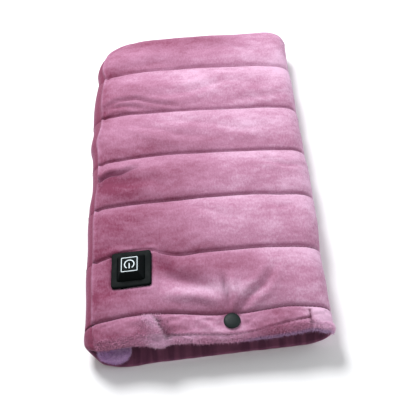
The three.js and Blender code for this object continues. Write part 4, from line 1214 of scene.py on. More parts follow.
# The mouth's two lips: where their front edges run, as shares of half the width and millimetres
lips = {
    "upperPlaces": (
        -1.0, -0.93, -0.83, -0.72, -0.62, -0.47, -0.37, -0.3,
        -0.08, 0.24, 0.47, 0.7, 0.8, 0.9, 1.0,
    ),
    "upperFront": (
        -174, -177.6, -178.7, -178.2, -177.2, -177.4, -179.4, -177.8,
        -178, -178.4, -177.2, -175.4, -174.4, -176, -176,
    ),
    "lowerPlaces": (-1.0, -0.94, -0.89, -0.83, -0.74, -0.4, 0.2, 0.6, 1.0),
    "lowerFront": (-169, -172.8, -177.0, -180.6, -182.8, -181.6, -178.3, -176, -173.2),
    "setback": 1.2,
    "setbackRise": 1.3,
    "sagCurl": 0.45,
    "curlFrom": 3.0,
    "curlOver": 11.0,
    "lowerThickness": 3.0,
    "upperThickness": 6.2,
    "wallAtSeam": 8.5,
    "wallAtLip": 4.2,
    "baseCrown": 0.5,
    "gathers": ((0.25, 1.35, 1.5, 7.0), (0.6, 3.1, 2.0, 11.0)),  # height, pitch, sway and its pitch
    "gatherHeight": 0.35,
    "rows": 26,
    "evenShare": 0.6,
    "turns": 7,
    "turnAngle": 86.0,
    "roundness": 0.95,
    "wobble": {"amount": 0.1, "cells": 70, "seed": 17},
}
# How far round the snap each level of the hem is pressed to it, and over what it fades
snapSeat = {
    "top": (6.6, 5.0),
    "under": (7.0, 4.0),
    "floor": (6.5, 4.0),
    "base": (6.0, 3.0),
    "relief": (7.0, 3.0),
    "seamFade": 2.4,
    "bite": 0.1,
    "baseRoom": 1.6,
}
pleat = {
    "path": ((-49.7, -153.8), (-44.2, -161.3), (-39.6, -169.4), (-36.0, -178)),
    "slant": 0.87,
    "height": 4.6,
    "run": 20.0,
    "fall": 2.8,
    "hollow": 0.9,
    "hollowRun": 12.0,
    "hollowShade": 0.5,
    "start": 1.0,
    "ease": 7.0,
    "lipDrop": 0.6,
}
# Soft ridges and a hollow on the hem: from, to, width and height
hemLines = (
    ((-7.4, -161.8), (6.9, -172.0), 3.4, 1.3),
    ((0.5, -161.8), (10.0, -169.0), 3.0, -0.7),
    ((86.0, -160.0), (90.0, -170.0), 7.0, 1.2),
)
stitching = {
    "places": (-0.34, -0.07, 0.24, 0.47, 0.7, 0.8),
    "path": (-173.1, -173.5, -174.3, -171.2, -167.6, -166.8),
    "depth": 0.9,
    "width": 1.0,
    "shade": 0.45,
    "from": -37.0,
    "ease": 6.0,
    "pastTack": 2.0,
    "endEase": 3.0,
}
tack = {"x": 79.6, "from": -171.5, "to": -161.0, "depth": 1.3, "width": 1.1, "shade": 0.6}


def lipSag(x, y):
    curl = smooth((snap["y"] - lips["curlFrom"] - y) / lips["curlOver"])
    return sag(x, y) * (1 - lips["sagCurl"] * curl)


def onLine(x, y, a, b):
    # Distance from a stretch between two points
    step = (b[0] - a[0], b[1] - a[1])
    t = np.clip(((x - a[0]) * step[0] + (y - a[1]) * step[1]) / (step[0] ** 2 + step[1] ** 2), 0, 1)
    return np.hypot(x - a[0] - t * step[0], y - a[1] - t * step[1])


def hemRelief(x, y):
    # The pleat, the soft ridges, the line of stitching and the tack: their height and their shade
    path = np.array(pleat["path"])
    ridgeX = np.interp(-y, -path[:, 1], path[:, 0])
    off = (x - ridgeX) * pleat["slant"]
    rise = np.where(off < 0, 1 - smooth(-off / pleat["run"]), 1 - smooth(off / pleat["fall"]))
    hollow = smooth(off / pleat["fall"]) * (1 - smooth((off - pleat["fall"]) / pleat["hollowRun"]))
    begun = smooth((path[0, 1] - pleat["start"] - y) / pleat["ease"])
    lipEnd = smooth((path[-1, 1] + pleat["ease"] - y) / pleat["ease"])
    ends = begun * (1 - pleat["lipDrop"] * lipEnd)
    height = ends * (pleat["height"] * rise - pleat["hollow"] * hollow)
    for start, end, width, lift in hemLines:
        height = height + lift * bell(onLine(x, y, start, end), width)
    lineY = curveThrough(x / pouch["halfWidth"], stitching["places"], stitching["path"])
    along = smooth((x - stitching["from"]) / stitching["ease"])
    along = along * smooth((tack["x"] + stitching["pastTack"] - x) / stitching["endEase"])
    groove = along * bell(y, stitching["width"], lineY)
    sewn = bell(onLine(x, y, (tack["x"], tack["from"]), (tack["x"], tack["to"])), tack["width"])
    height = height - stitching["depth"] * groove - tack["depth"] * sewn
    shade = stitching["shade"] * groove + tack["shade"] * sewn
    return height, shade + pleat["hollowShade"] * np.clip(hollow, 0, 1) * begun


def hemCrown(x, y):
    seam = seamY(0, x)
    return np.sin(np.pi * np.clip((seam - y) / (seam - pouch["mouthY"]), 0, 1))


def nearSnap(x, y, level):
    radius, over = snapSeat[level]
    return 1 - smooth((np.hypot(x - snap["x"], y - snap["y"]) - radius) / over)


def hemTopLevel(x, y):
    level = levels["topSeam"] - shape["topDrop"] * hemShare(y) - lipSag(x, y)
    level = level + shape["crownHem"] * hemCrown(x, y)
    pressed = snap["capTop"] - snap["capHeight"] - 2 * layers["gap"] + snapSeat["bite"]
    near = nearSnap(x, y, "top") * smooth((seamY(0, x) - y) / snapSeat["seamFade"])
    return level + (pressed - level) * near


def hemUnderLevel(x, y):
    share = hemShare(y)
    lip = levels["topSeam"] - shape["topDrop"] - lips["upperThickness"]
    level = levels["cavityTop"] * (1 - share) + lip * share - lipSag(x, y)
    return level + (socketHigh[2] + layers["gap"] - level) * nearSnap(x, y, "under")


def hemFloorLevel(x, y):
    share = hemShare(y)
    gathers = sum(
        height * np.sin(x / pitch + sway * np.sin(x / swayPitch))
        for height, pitch, sway, swayPitch in lips["gathers"]
    )
    level = levels["cavityBottom"] * (1 - share) + lips["lowerThickness"] * share
    level = level + lips["gatherHeight"] * gathers
    return level + (studLow[2] - layers["gap"] - level) * nearSnap(x, y, "floor")


def hemBaseLevel(x, y):
    level = levels["bottomSeam"] * (1 - hemShare(y)) - lips["baseCrown"] * hemCrown(x, y)
    level = np.maximum(level, shape["floor"])
    return np.maximum(level, snapSeat["baseRoom"] * nearSnap(x, y, "base"))


def hemGrid(depths, shares, topOf, bottomOf):
    # A ring of points for each share of the way from the lip to the hem's seam
    across = columnShares(0.0, 2)[None, :]
    depth = np.array(depths)[:, None]
    share = np.array(shares)[:, None]
    halves = []
    for sign, levelOf in ((1, topOf), (-1, bottomOf)):
        x = (across * 2 - 1) * pouch["halfWidth"] * np.ones((len(shares), 1))
        y = pouch["mouthY"] + 0 * x
        for _ in range(grid["hemPasses"]):
            left, right = outlineX(y, depth, -1), outlineX(y, depth, 1)
            x = left + (right - left) * across
            upperFront = curveThrough(x / pouch["halfWidth"], lips["upperPlaces"], lips["upperFront"])
            lowerFront = curveThrough(x / pouch["halfWidth"], lips["lowerPlaces"], lips["lowerFront"])
            t = np.minimum(np.minimum(x - left, right - x) / (pouch["rollRadius"] - depth), 1)
            high = 0.5 + 0.5 * sign * np.sqrt(np.clip(1 - (1 - t) ** 2, 0, 1))
            front = lowerFront + (upperFront - lowerFront) * high
            seam = seamY(0, x) - layers["gap"] / 2
            setback = lips["setback"] + lips["setbackRise"] * high
            y = front + setback + (seam - front - setback) * share
        halves.append(np.stack([x, y, rolled(levelOf(x, y), x, y, depth)], axis=-1))
    return ringOf(halves[0], halves[1], 2)


# The hem's skin: hills as cells, seed and height, and how its seam dips
hem = {
    "hills": (((5, 60), 11, 0.5), ((9, 150), 13, 0.2)),
    "aboveFrom": 2.0,
    "aboveOver": 4.0,
    "reliefClear": 5.0,
    "hillsClear": 4.0,
    "dip": 1.1,
    "foldShade": 0.4,
    "turnedShare": 0.8,  # the lining's lilac in the left corner, and a painted lilac-grey sheen on the right lip's tip
    "turnedRight": (16.0, 24.0),
    "turnedEnd": (100.0, 8.0),
    "turnedTip": (38.0, 0.5),
    "turnedCorner": (-66.0, 8.0),
    "turnedRows": (0.02, 0.06),
    "hairRows": (0.04, 0.2),
    "hairLow": 4.0,
    "hairLip": 0.75,
    "hairPleat": 0.8,
    "pleatLine": ((-46, -160), (-40, -176)),
    "pleatReach": 7.0,
}
# Painted light and shade on the hem's pile: amount, and where needed the middle and the reach across
hemShadingParts = {
    "slope": 0.8,
    "hair": 0.6,
    "hairRight": 0.3,
    "hairLeft": (-40.0, 30.0),
    "all": -0.5,
    "pleat": 1.5,
    "places": ((1.2, -5.0, 42.0), (-1.5, 52.0, 20.0)),
    "lip": (1.4, -35.0, 30.0),
    "rightEnd": (1.6, 72.0, 18.0),
    "lowerStrip": (-1.4, -88.0, 4.0),
}
shares = np.linspace(0, 1, lips["rows"])
shares = lips["evenShare"] * shares + (1 - lips["evenShare"]) * np.sin(0.5 * np.pi * shares)
walls = lips["wallAtLip"] + (lips["wallAtSeam"] - lips["wallAtLip"]) * shares
outer = hemGrid(0 * shares, shares, hemTopLevel, hemBaseLevel)
inside = hemGrid(walls, shares, hemUnderLevel, hemFloorLevel)
hemNormals = ringNormals(outer, -1)
hemHeight, hemShade = hemRelief(outer[..., 0], outer[..., 1])
above = smooth((outer[..., 2] - levels["equator"] - hem["aboveFrom"]) / hem["aboveOver"])
fromSeam = np.abs(outer[..., 1] - seamY(0, outer[..., 0]))
hemDip = bell(fromSeam, seams["dipWidth"])
hills = sum(softNoise(outer.shape[:2], cells, seed) * height for cells, seed, height in hem["hills"])
hemLift = hemHeight * smooth(fromSeam / hem["reliefClear"]) + hills * smooth(fromSeam / hem["hillsClear"])
hemLift = hemLift * above
hemLift = hemLift - hem["dip"] * hemDip * (seams["underShare"] + (1 - seams["underShare"]) * above)
awayFromSnap = 1 - nearSnap(outer[..., 0], outer[..., 1], "relief")
hemLift = hemLift * np.where(above > 0, awayFromSnap, 1)
outer = outer + hemNormals * hemLift[..., None]
outer[..., 2] = np.maximum(outer[..., 2], shape["floor"])

# The lip turns over from the outer to the inner side
middle = (outer[0] + inside[0]) / 2
reach = np.linalg.norm(outer[0] - inside[0], axis=-1, keepdims=True) / 2 * lips["roundness"]
angles = np.radians(np.linspace(lips["turnAngle"], 0, lips["turns"] + 1))[:-1, None, None]
forward = np.array([0.0, -1.0, 0.0])
wobble = softNoise((1, outer.shape[1]), (1, lips["wobble"]["cells"]), lips["wobble"]["seed"])[0][:, None]
wobble = 1 + lips["wobble"]["amount"] * wobble
turnOuter = middle + (outer[0] - middle) * np.cos(angles) + forward * reach * wobble * np.sin(angles)
turnInner = middle + (inside[0] - middle) * np.cos(angles) + forward * reach * wobble * np.sin(angles)
hemOuter = np.concatenate([turnOuter, outer])
hemInner = np.concatenate([turnInner, inside])
onTurn = np.ones(turnOuter.shape[:2])
hemX = hemOuter[..., 0]
isUpper = hemOuter[..., 2] > levels["equator"]


def nearLip(rows):
    # 1 on the lip's turn, and fading out over the first rows behind it
    start, over = rows
    return np.concatenate([onTurn, 1 - smooth((shares[:, None] - start) / over) + 0 * fromSeam])


def eases(key, direction=1):
    start, over = hem[key]
    return smooth(direction * (hemX - start) / over)


# What the plush's material and the pile read on the hem: painted shade in its folds, painted light and shade,
# lilac, and where fibres grow
hemFoldShade = np.clip(hem["foldShade"] * hemDip + hemShade * above, 0, seams["darkest"])
hemFoldShade = np.concatenate([0 * onTurn, hemFoldShade])
tipStart, tipOver = hem["turnedTip"]
tip = np.concatenate([smooth((angles[:, 0, 0] - math.radians(tipStart)) / tipOver), 0 * shares])[:, None]
turned = hem["turnedShare"] * eases("turnedRight") * eases("turnedEnd", -1) * tip * isUpper
atCorner = eases("turnedCorner", -1) * nearLip(hem["turnedRows"]) * (hemOuter[..., 2] < levels["equator"])
turned = turned + hem["turnedShare"] * atCorner
atLip = nearLip(hem["hairRows"])
atPleat = bell(onLine(hemX, hemOuter[..., 1], *hem["pleatLine"]), hem["pleatReach"])
hairy = np.clip(hem["hairLip"] * atLip + hem["hairPleat"] * atPleat, 0, 1)
hairy = hairy * smooth((hemOuter[..., 2] - levels["equator"] + hem["hairLow"]) / hem["hairLow"])
start, over = hemShadingParts["hairLeft"]
atLeft = 1 - smooth((hemX - start) / over)
# Painted light and shade on the hem: lighter on slopes that face the far end, painted highlights on the fuzzy
# lip and the pleat, and painted patches
hemShading = hemShadingParts["slope"] * ringNormals(hemOuter, -1)[..., 1] * isUpper
hemShading = hemShading + hemShadingParts["hair"] * hairy * (hemShadingParts["hairRight"] + (1 - hemShadingParts["hairRight"]) * atLeft)
hemShading = hemShading + hemShadingParts["all"] + hemShadingParts["pleat"] * atPleat
for amount, place, width in hemShadingParts["places"]:
    hemShading = hemShading + amount * bell(hemX, width, place)
amount, place, width = hemShadingParts["lip"]
hemShading = hemShading + amount * atLip * bell(hemX, width, place)
amount, start, over = hemShadingParts["rightEnd"]
hemShading = hemShading + amount * smooth((hemX - start) / over)
amount, start, over = hemShadingParts["lowerStrip"]
lowerHemShading = hemShading + amount * smooth((start - hemX) / over)
hemValues = {"foldShade": hemFoldShade, "turned": turned, "paintedShading": hemShading, "pile": hairy}
hemEnd = rightSeamColumn(2)
hemSide = slice(0, hemEnd + 1)
atSnap = (snap["x"], snap["y"])
hemTop = closedLayer(
    "mouth_upper_hem",
    hemOuter[:, hemSide],
    hemInner[:, hemSide],
    finishes["plush"],
    clearOf(hemOuter[:, hemSide], atSnap, snap["upperHole"], isUpper[:, hemSide]),
    {key: values[:, hemSide] for key, values in hemValues.items()},
)
hemBottom = closedLayer(
    "mouth_lower_hem",
    besides(hemOuter, hemEnd),
    besides(hemInner, hemEnd),
    finishes["plush"],
    clearOf(besides(hemOuter, hemEnd), atSnap, snap["lowerHole"]),
    {"foldShade": besides(hemFoldShade, hemEnd), "paintedShading": besides(lowerHemShading, hemEnd)},
)


print("lining")
# Wrinkles as cells, seed and height
wrinkles = {"hills": (((10, 90), 19, 0.5), ((24, 40), 23, 0.35)), "middle": 0.5, "edgeFade": 6.0}


def liningRing(depth, top, bottom):
    ring, _ = layerRing(
        depth, 1, lambda x, y, crown: levels[top] - sag(x, y), lambda x, y, crown: levels[bottom] + 0 * x
    )
    return np.concatenate([ring, ring[:, :1]], axis=1)


def liningBody():
    innerDepth = layers["liningDepth"] + layers["lining"]
    outerRing = liningRing(layers["liningDepth"], "liningTop", "liningBottom")
    innerRing = liningRing(innerDepth, "cavityTop", "cavityBottom")[:, :-1]
    x, y, z = innerRing[..., 0], innerRing[..., 1], innerRing[..., 2]
    wrinkle = wrinkles["middle"]
    for cells, seed, height in wrinkles["hills"]:
        wrinkle = wrinkle + height * softNoise(z.shape, cells, seed)
    inward = np.where(z < levels["equator"], 1.0, -1.0)
    inward = inward * smooth(edgeDistance(x, y, innerDepth) / wrinkles["edgeFade"])
    innerRing = innerRing + np.stack([0 * x, 0 * x, inward * wrinkle], axis=-1)
    innerRing = np.concatenate([innerRing, innerRing[:, :1]], axis=1)
    return closedLayer("lining_bag_soft", outerRing, innerRing, finishes["lining"])


tongue = {
    "middle": (-77.3, -170.4, 11.0),
    "size": (12.2, 11.6, 8.0),
    "rows": 28,
    "columns": 48,
    "squareness": 0.8,
    "bumps": {"cells": (7, 9), "seed": 29, "height": 0.2},
    "hairy": {"y": -170.0, "yOver": 4.0, "z": 5.0, "zOver": 3.0},
}


def liningTongue():
    # The puffy end of the lining that shows in the mouth's left corner
    rows, columns, power = tongue["rows"], tongue["columns"], tongue["squareness"]
    bumps = softNoise((rows + 1, columns + 1), tongue["bumps"]["cells"], tongue["bumps"]["seed"])
    points, faces = [], []
    for j in range(1, rows):
        rise = math.pi * (j / rows - 0.5)
        for i in range(columns):
            turn = 2 * math.pi * i / columns
            direction = np.array([
                math.copysign(abs(math.cos(turn)) ** power, math.cos(turn)) * math.cos(rise) ** power,
                math.copysign(abs(math.sin(turn)) ** power, math.sin(turn)) * math.cos(rise) ** power,
                math.copysign(abs(math.sin(rise)) ** power, math.sin(rise)),
            ])
            swell = 1 + tongue["bumps"]["height"] * bumps[j, i] * math.cos(rise)
            points.append(np.array(tongue["middle"]) + direction * np.array(tongue["size"]) * swell)
    for j in range(rows - 2):
        for i in range(columns):
            a, b = j * columns + i, j * columns + (i + 1) % columns
            faces.append((a, b, b + columns, a + columns))
    faces.append(tuple(reversed(range(columns))))
    faces.append(tuple(range((rows - 2) * columns, (rows - 1) * columns)))
    points, hair = np.array(points), tongue["hairy"]
    hairyEnd = smooth((hair["y"] - points[:, 1]) / hair["yOver"])
    hairyEnd = hairyEnd * smooth((points[:, 2] - hair["z"]) / hair["zOver"])
    return meshObject("lining_end", points, faces, finishes["lining"], {"pile": hairyEnd})


def joined(first, *others):
    with bpy.context.temp_override(
        active_object=first, selected_editable_objects=[first, *others], selected_objects=[first, *others]
    ):
        bpy.ops.object.join()
    return first


liningEnd = liningTongue()
liningPile = bpy.data.objects.new("lining_pile", liningEnd.data.copy())
lining = joined(liningBody(), liningEnd)
lining.name = "soft_lining"


print("switch and snap")
switchPlace = Matrix.Translation((control["x"], control["y"], control["z"])) @ Matrix.Rotation(
    -control["tilt"], 4, "Y"
)


def squareLoop(half, corner, z, steps=6):
    points = []
    for k, (sx, sy) in enumerate(((1, 1), (-1, 1), (-1, -1), (1, -1))):
        for s in range(steps + 1):
            angle = (k + s / steps) * math.pi / 2
            points.append((
                sx * (half - corner) + corner * math.cos(angle),
                sy * (half - corner) + corner * math.sin(angle),
                z,
            ))
    return points


def roundLoop(radius, z, count=56):
    return [
        (radius * math.cos(2 * math.pi * k / count), radius * math.sin(2 * math.pi * k / count), z)
        for k in range(count)
    ]


def eased(profile, closed=False, steps=3):
    # Rounds the corners of a profile of (half size, height, radius) points
    count = len(profile)
    out = []
    for k, (half, z, radius) in enumerate(profile):
        if radius == 0 or (not closed and k in (0, count - 1)):
            out.append((half, z))
            continue
        here = np.array((half, z))
        before = np.array(profile[k - 1][:2]) - here
        after = np.array(profile[(k + 1) % count][:2]) - here
        a = here + before * min(radius / np.linalg.norm(before), 0.45)
        b = here + after * min(radius / np.linalg.norm(after), 0.45)
        for s in range(steps + 1):
            t = s / steps
            point = (1 - t) ** 2 * a + 2 * t * (1 - t) * here + t * t * b
            out.append((float(point[0]), float(point[1])))
    return out


def skinned(loops, closed=False):
    # Faces between loops of the same number of points, capped at both ends unless closed
    count = len(loops[0])
    faces = []
    for j in range(len(loops) if closed else len(loops) - 1):
        for i in range(count):
            a, b = j * count + i, j * count + (i + 1) % count
            after = (j + 1) % len(loops) * count
            faces.append((a, b, after + (i + 1) % count, after + i))
    if not closed:
        faces.append(tuple(reversed(range(count))))
        faces.append(tuple(range((len(loops) - 1) * count, len(loops) * count)))
    return [point for loop in loops for point in loop], faces


def hardPiece(name, parts, material, place=None, sharp=32.0):
    points, faces = [], []
    for partPoints, partFaces in parts:
        start = len(points)
        points += partPoints
        faces += [tuple(v + start for v in face) for face in partFaces]
    if place is not None:
        points = [tuple(place @ Vector(point)) for point in points]
    piece = meshObject(name, points, faces, material)
    piece.data.set_sharp_from_angle(angle=math.radians(sharp))
    return piece


button = {
    "base": 22.4,
    "top": 15.4,
    "flange": 24.0,
    "flangeTop": 1.5,
    "gap": 0.3,
    "bottom": 0.3,
    "shoulder": 3.1,
    "height": 9.3,
    "roof": 7.3,
    "pocket": 13.6,
    "flatTop": 10.0,
    "collar": 27.2,
    "collarWall": 1.2,
    "collarDepth": 2.0,
    "ledge": 1.8,
    "edge": 0.2,
}
# Corner radii of the plate and the key, and where they change
corners = {
    "slope": 0.6,
    "least": 0.4,
    "within": 1.2,
    "keyTop": 0.8,
    "slopeStart": 0.5,
    "pocket": 0.3,
    "pocketReach": 7.0,
}
symbol = {
    "frame": 13.6,
    "line": 0.62,
    "stroke": 0.85,
    "ring": 3.9,
    "gap": 76,
    "bar": 5.4,
    "barTop": 1.1,
    "barShare": 0.78,
    "corner": 0.9,
    "innerCorner": 0.35,
    "depth": 0.8,
    "fit": 0.06,
    "inset": 0.05,
    "blockHalf": 6.5,
    "blockCorner": 0.6,
    "blockHeight": 1.0,
    "stemRadius": 1.5,
    "stemBottom": -1.95,
    "stemSides": 28,
    "edge": 0.2,
}


def plateMesh():
    half, inner = halfPlate, button["base"] / 2 + button["gap"]
    outerCollar = button["collar"] / 2
    innerCollar = outerCollar - button["collarWall"]
    thick = control["plateThickness"]
    # Half sizes, heights and the radius of each edge
    profile = eased([
        (half, 0, 0.3),
        (half, thick, 1.0),
        (inner, thick, 0.35),
        (inner, button["ledge"], 0.1),
        (innerCollar, button["ledge"], 0),
        (innerCollar, -button["collarDepth"], button["edge"]),
        (outerCollar, -button["collarDepth"], button["edge"]),
        (outerCollar, 0, 0),
    ], closed=True, steps=4)
    loops = []
    for r, z in profile:
        corner = corners["within"]
        if r > outerCollar:
            corner = max(control["plateCorner"] + (r - half) * corners["slope"], corners["least"])
        loops.append(squareLoop(r, corner, z))
    return hardPiece("switch_base_plate", [skinned(loops, closed=True)], finishes["black"], switchPlace)


def keyMesh():
    profile = eased([
        (button["pocket"] / 2, button["roof"], 0),
        (button["pocket"] / 2, button["bottom"], button["edge"]),
        (button["flange"] / 2, button["bottom"], button["edge"]),
        (button["flange"] / 2, button["flangeTop"], button["edge"]),
        (button["base"] / 2, button["flangeTop"], 0),
        (button["base"] / 2, button["shoulder"], 0.35),
        (button["top"] / 2, button["height"], 0.4),
        (button["flatTop"] / 2, button["height"], 0),
    ])
    loops = []
    for r, z in profile:
        corner = corners["pocket"]
        if r > corners["pocketReach"]:
            onSlope = z > button["shoulder"] + corners["slopeStart"]
            corner = corners["keyTop"] if onSlope else corners["within"]
        loops.append(squareLoop(r, corner, z))
    return hardPiece("switch_button", [skinned(loops)], finishes["black"], switchPlace)


def bandAlong(path, half, low, high):
    # A flat band along a path with round ends
    path = np.array(path, float)
    tangents = np.gradient(path, axis=0)
    tangents /= np.linalg.norm(tangents, axis=1, keepdims=True)
    endAngles = (1.45, 1.1, 0.7, 0.35)
    first, last = tangents[0] * half, tangents[-1] * half
    stations = [(path[0] - first * math.sin(a), tangents[0], half * math.cos(a)) for a in endAngles]
    stations += [(p, t, half) for p, t in zip(path, tangents)]
    stations += [(path[-1] + last * math.sin(a), tangents[-1], half * math.cos(a)) for a in endAngles[::-1]]
    loops = []
    for point, along, reach in stations:
        side = np.array((-along[1], along[0])) * reach
        a, b = point + side, point - side
        loops.append([(a[0], a[1], low), (a[0], a[1], high), (b[0], b[1], high), (b[0], b[1], low)])
    return skinned(loops)


def symbolParts(spare, low, high):
    half = symbol["line"] / 2 + spare
    stroke = symbol["stroke"] / 2 + spare
    edge = symbol["frame"] / 2 - symbol["line"] / 2
    frameLoops = [
        squareLoop(edge + half, symbol["corner"], low),
        squareLoop(edge + half, symbol["corner"], high),
        squareLoop(edge - half, symbol["innerCorner"], high),
        squareLoop(edge - half, symbol["innerCorner"], low),
    ]
    halfGap = math.radians(symbol["gap"] / 2)
    turns = np.linspace(-math.pi / 2 + halfGap, 1.5 * math.pi - halfGap, 40)
    ringPath = [(symbol["ring"] * math.cos(a), symbol["ring"] * math.sin(a)) for a in turns]
    barLength = symbol["bar"] * symbol["barShare"]
    barPath = [(0, symbol["barTop"] - stroke - barLength * s) for s in (0, 0.25, 0.5, 0.75, 1)]
    bands = [bandAlong(path, stroke, low, high) for path in (ringPath, barPath)]
    return [skinned(frameLoops, closed=True), *bands]


def cut(piece, tool):
    modifier = piece.modifiers.new("recess", "BOOLEAN")
    modifier.operation = "DIFFERENCE"
    modifier.solver = "EXACT"
    modifier.object = tool
    bpy.context.view_layer.update()
    evaluated = piece.evaluated_get(bpy.context.evaluated_depsgraph_get())
    mesh = bpy.data.meshes.new_from_object(evaluated)
    piece.modifiers.remove(modifier)
    piece.data = mesh
    bpy.data.objects.remove(tool)


key = keyMesh()
recessFloor = button["height"] - symbol["depth"]
recessParts = symbolParts(symbol["fit"], recessFloor, button["height"] + 1)
cut(key, hardPiece("recess", recessParts, finishes["black"], switchPlace))
plate = plateMesh()
guideTop = button["roof"] - layers["gap"]
guideHalf, guideCorner, guideEdge = symbol["blockHalf"], symbol["blockCorner"], symbol["edge"]
guideBottom = guideTop - symbol["blockHeight"]
stem, stemBottom, stemSides = symbol["stemRadius"], symbol["stemBottom"], symbol["stemSides"]
guideBlock = skinned([
    squareLoop(guideHalf - guideEdge, guideCorner, guideBottom),
    squareLoop(guideHalf, guideCorner, guideBottom + guideEdge),
    squareLoop(guideHalf, guideCorner, guideTop),
])
guideStem = skinned([
    roundLoop(stem - guideEdge, stemBottom, stemSides),
    roundLoop(stem, stemBottom + guideEdge, stemSides),
    roundLoop(stem, guideBottom - symbol["inset"], stemSides),
])
litParts = symbolParts(0, recessFloor + symbol["inset"], button["height"] - symbol["inset"])
legend = hardPiece(
    "lit_power_symbol", [*litParts, guideBlock, guideStem], finishes["legend"], switchPlace
)


def turnedPiece(name, profile, material, place, closed=False, count=56):
    loops = [roundLoop(r, z, count) for r, z in eased(profile, closed)]
    return hardPiece(name, [skinned(loops, closed)], material, place)


# Profiles of the turned pieces are radii, heights and the radius of each edge
snapPlace = Matrix.Translation((snap["x"], snap["y"], 0))
rim = snap["capTop"] - snap["capHeight"]
half = snap["capRadius"]
domeShares = ((1.0, 0.3), (0.93, 0.56), (0.78, 0.76), (0.55, 0.91), (0.3, 0.98))
dome = [(half * r, rim + snap["capHeight"] * z, 0.3) for r, z in domeShares]
cap = turnedPiece(
    "snap_cap_dome",
    [(2.0, capLow[2], 0), (2.0, rim, 0.1), (half - 0.5, rim, 0.2), *dome, (0.06 * half, snap["capTop"], 0)],
    finishes["snap"],
    snapPlace,
)
socket = turnedPiece(
    "snap_socket_ring",
    [
        (6.0, socketLow[2], 0.4),
        (6.0, socketHigh[2], 0.7),
        (2.3, socketHigh[2], 0.2),
        (2.3, socketHigh[2] - 1.5, 0.2),
        (3.0, socketHigh[2] - 1.5, 0.2),
        (3.0, socketLow[2], 0.3),
    ],
    finishes["snap"],
    snapPlace,
    closed=True,
)
stud = turnedPiece(
    "snap_stud_knob",
    [
        (1.6, studLow[2] + 1.0, 0),
        (1.6, studLow[2], 0.15),
        (5.7, studLow[2], 0.25),
        (5.7, studLow[2] + 1.2, 0.4),
        (2.4, studLow[2] + 1.2, 0.3),
        (2.7, studHigh[2] - 0.6, 0.35),
        (2.3, studHigh[2], 0.4),
        (0.2, studHigh[2], 0),
    ],
    finishes["snap"],
    snapPlace,
)
backCap = turnedPiece(
    "snap_back_disc",
    [
        (0.3, backLow[2] + 0.1, 0),
        (4.9, backLow[2], 0.3),
        (5.5, backLow[2] + 0.4, 0.3),
        (5.5, backLow[2] + 1.0, 0.2),
        (1.3, backLow[2] + 1.0, 0.1),
        (1.3, backHigh[2], 0),
    ],
    finishes["snap"],
    snapPlace,
)
exitTurn = Matrix.Translation((exitPlace[0], 0, exitPlace[1])) @ Matrix.Rotation(-math.pi / 2, 4, "X")
grommet = turnedPiece(
    "cord_grommet",
    [
        (1.0, exitLow[1], 0.2),
        (3.2, exitLow[1], 0.3),
        (3.2, exitHigh[1] - 1.2, 0.2),
        (4.8, exitHigh[1] - 1.2, 0.3),
        (4.8, exitHigh[1], 0.5),
        (1.0, exitHigh[1], 0.3),
    ],
    finishes["rubber"],
    exitTurn,
    closed=True,
)


print("stitches")


# A Geometry Nodes tree with named inputs for its sizes and for the material that it ends in
class Tree:
    def __init__(self, name, sizes, finish):
        self.tree = bpy.data.node_groups.new(name, "GeometryNodeTree")
        self.tree.is_modifier = True
        self.finish = finish
        self.socket("Geometry", "NodeSocketGeometry")
        for key, value in sizes.items():
            self.socket(key, "NodeSocketFloat").default_value = value
        self.socket(finish, "NodeSocketMaterial")
        self.socket("Geometry", "NodeSocketGeometry", "OUTPUT")
        self.given = self.add("NodeGroupInput")

    def socket(self, name, kind, side="INPUT"):
        return self.tree.interface.new_socket(name, in_out=side, socket_type=kind)

    # A node of a type, its settings first, then the values or the links of its sockets
    def add(self, kind, settings=None, inputs=None):
        node = self.tree.nodes.new(kind)
        for key, value in (settings or {}).items():
            setattr(node, key, value)
        for key, value in (inputs or {}).items():
            if isinstance(value, bpy.types.NodeSocket):
                self.tree.links.new(value, node.inputs[key])
            else:
                node.inputs[key].default_value = value
        return node.outputs

    # One shape at each point, scaled and turned by chance, made real and given its material
    def placed(self, points, shape, size, turn, low, high, seed, smoothed=False):
        limits = {"Min": low, "Max": high, "Seed": seed}
        chance = self.add("FunctionNodeRandomValue", {"data_type": "FLOAT_VECTOR"}, limits)
        shaped = self.add("GeometryNodeTransform", None, {"Geometry": shape, "Scale": size})
        instances = self.add("GeometryNodeInstanceOnPoints", None, {
            "Points": points, "Instance": shaped["Geometry"],
            "Rotation": turn["Rotation"], "Scale": chance["Value"],
        })
        real = self.add("GeometryNodeRealizeInstances", None, {"Geometry": instances["Instances"]})
        if smoothed:
            real = self.add("GeometryNodeSetShadeSmooth", None, {"Geometry": real["Geometry"]})
        painted = {"Geometry": real["Geometry"], "Material": self.given[self.finish]}
        painted = self.add("GeometryNodeSetMaterial", None, painted)
        self.add("NodeGroupOutput", None, {"Geometry": painted["Geometry"]})
        return self.tree


def stitchTree():
    tree = Tree("stitches", {"Pitch": 0.0032, "Length": 0.0024, "Thickness": 0.00055}, "Thread")
    given = tree.given
    curve = tree.add("GeometryNodeMeshToCurve", None, {"Mesh": given["Geometry"]})
    points = tree.add(
        "GeometryNodeCurveToPoints", {"mode": "LENGTH"}, {"Curve": curve["Curve"], "Length": given["Pitch"]}
    )
    ball = tree.add("GeometryNodeMeshIcoSphere", None, {"Radius": 0.5, "Subdivisions": 2})
    thickness = given["Thickness"]
    size = tree.add("ShaderNodeCombineXYZ", None, {"X": given["Length"], "Y": thickness, "Z": thickness})
    turn = tree.add("FunctionNodeAlignRotationToVector", {"axis": "X"}, {"Vector": points["Tangent"]})
    low, high = (0.88, 0.85, 0.85), (1.08, 1.15, 1.15)
    return tree.placed(
        points["Points"], ball["Mesh"], size["Vector"], turn, low, high, seed=4, smoothed=True
    )


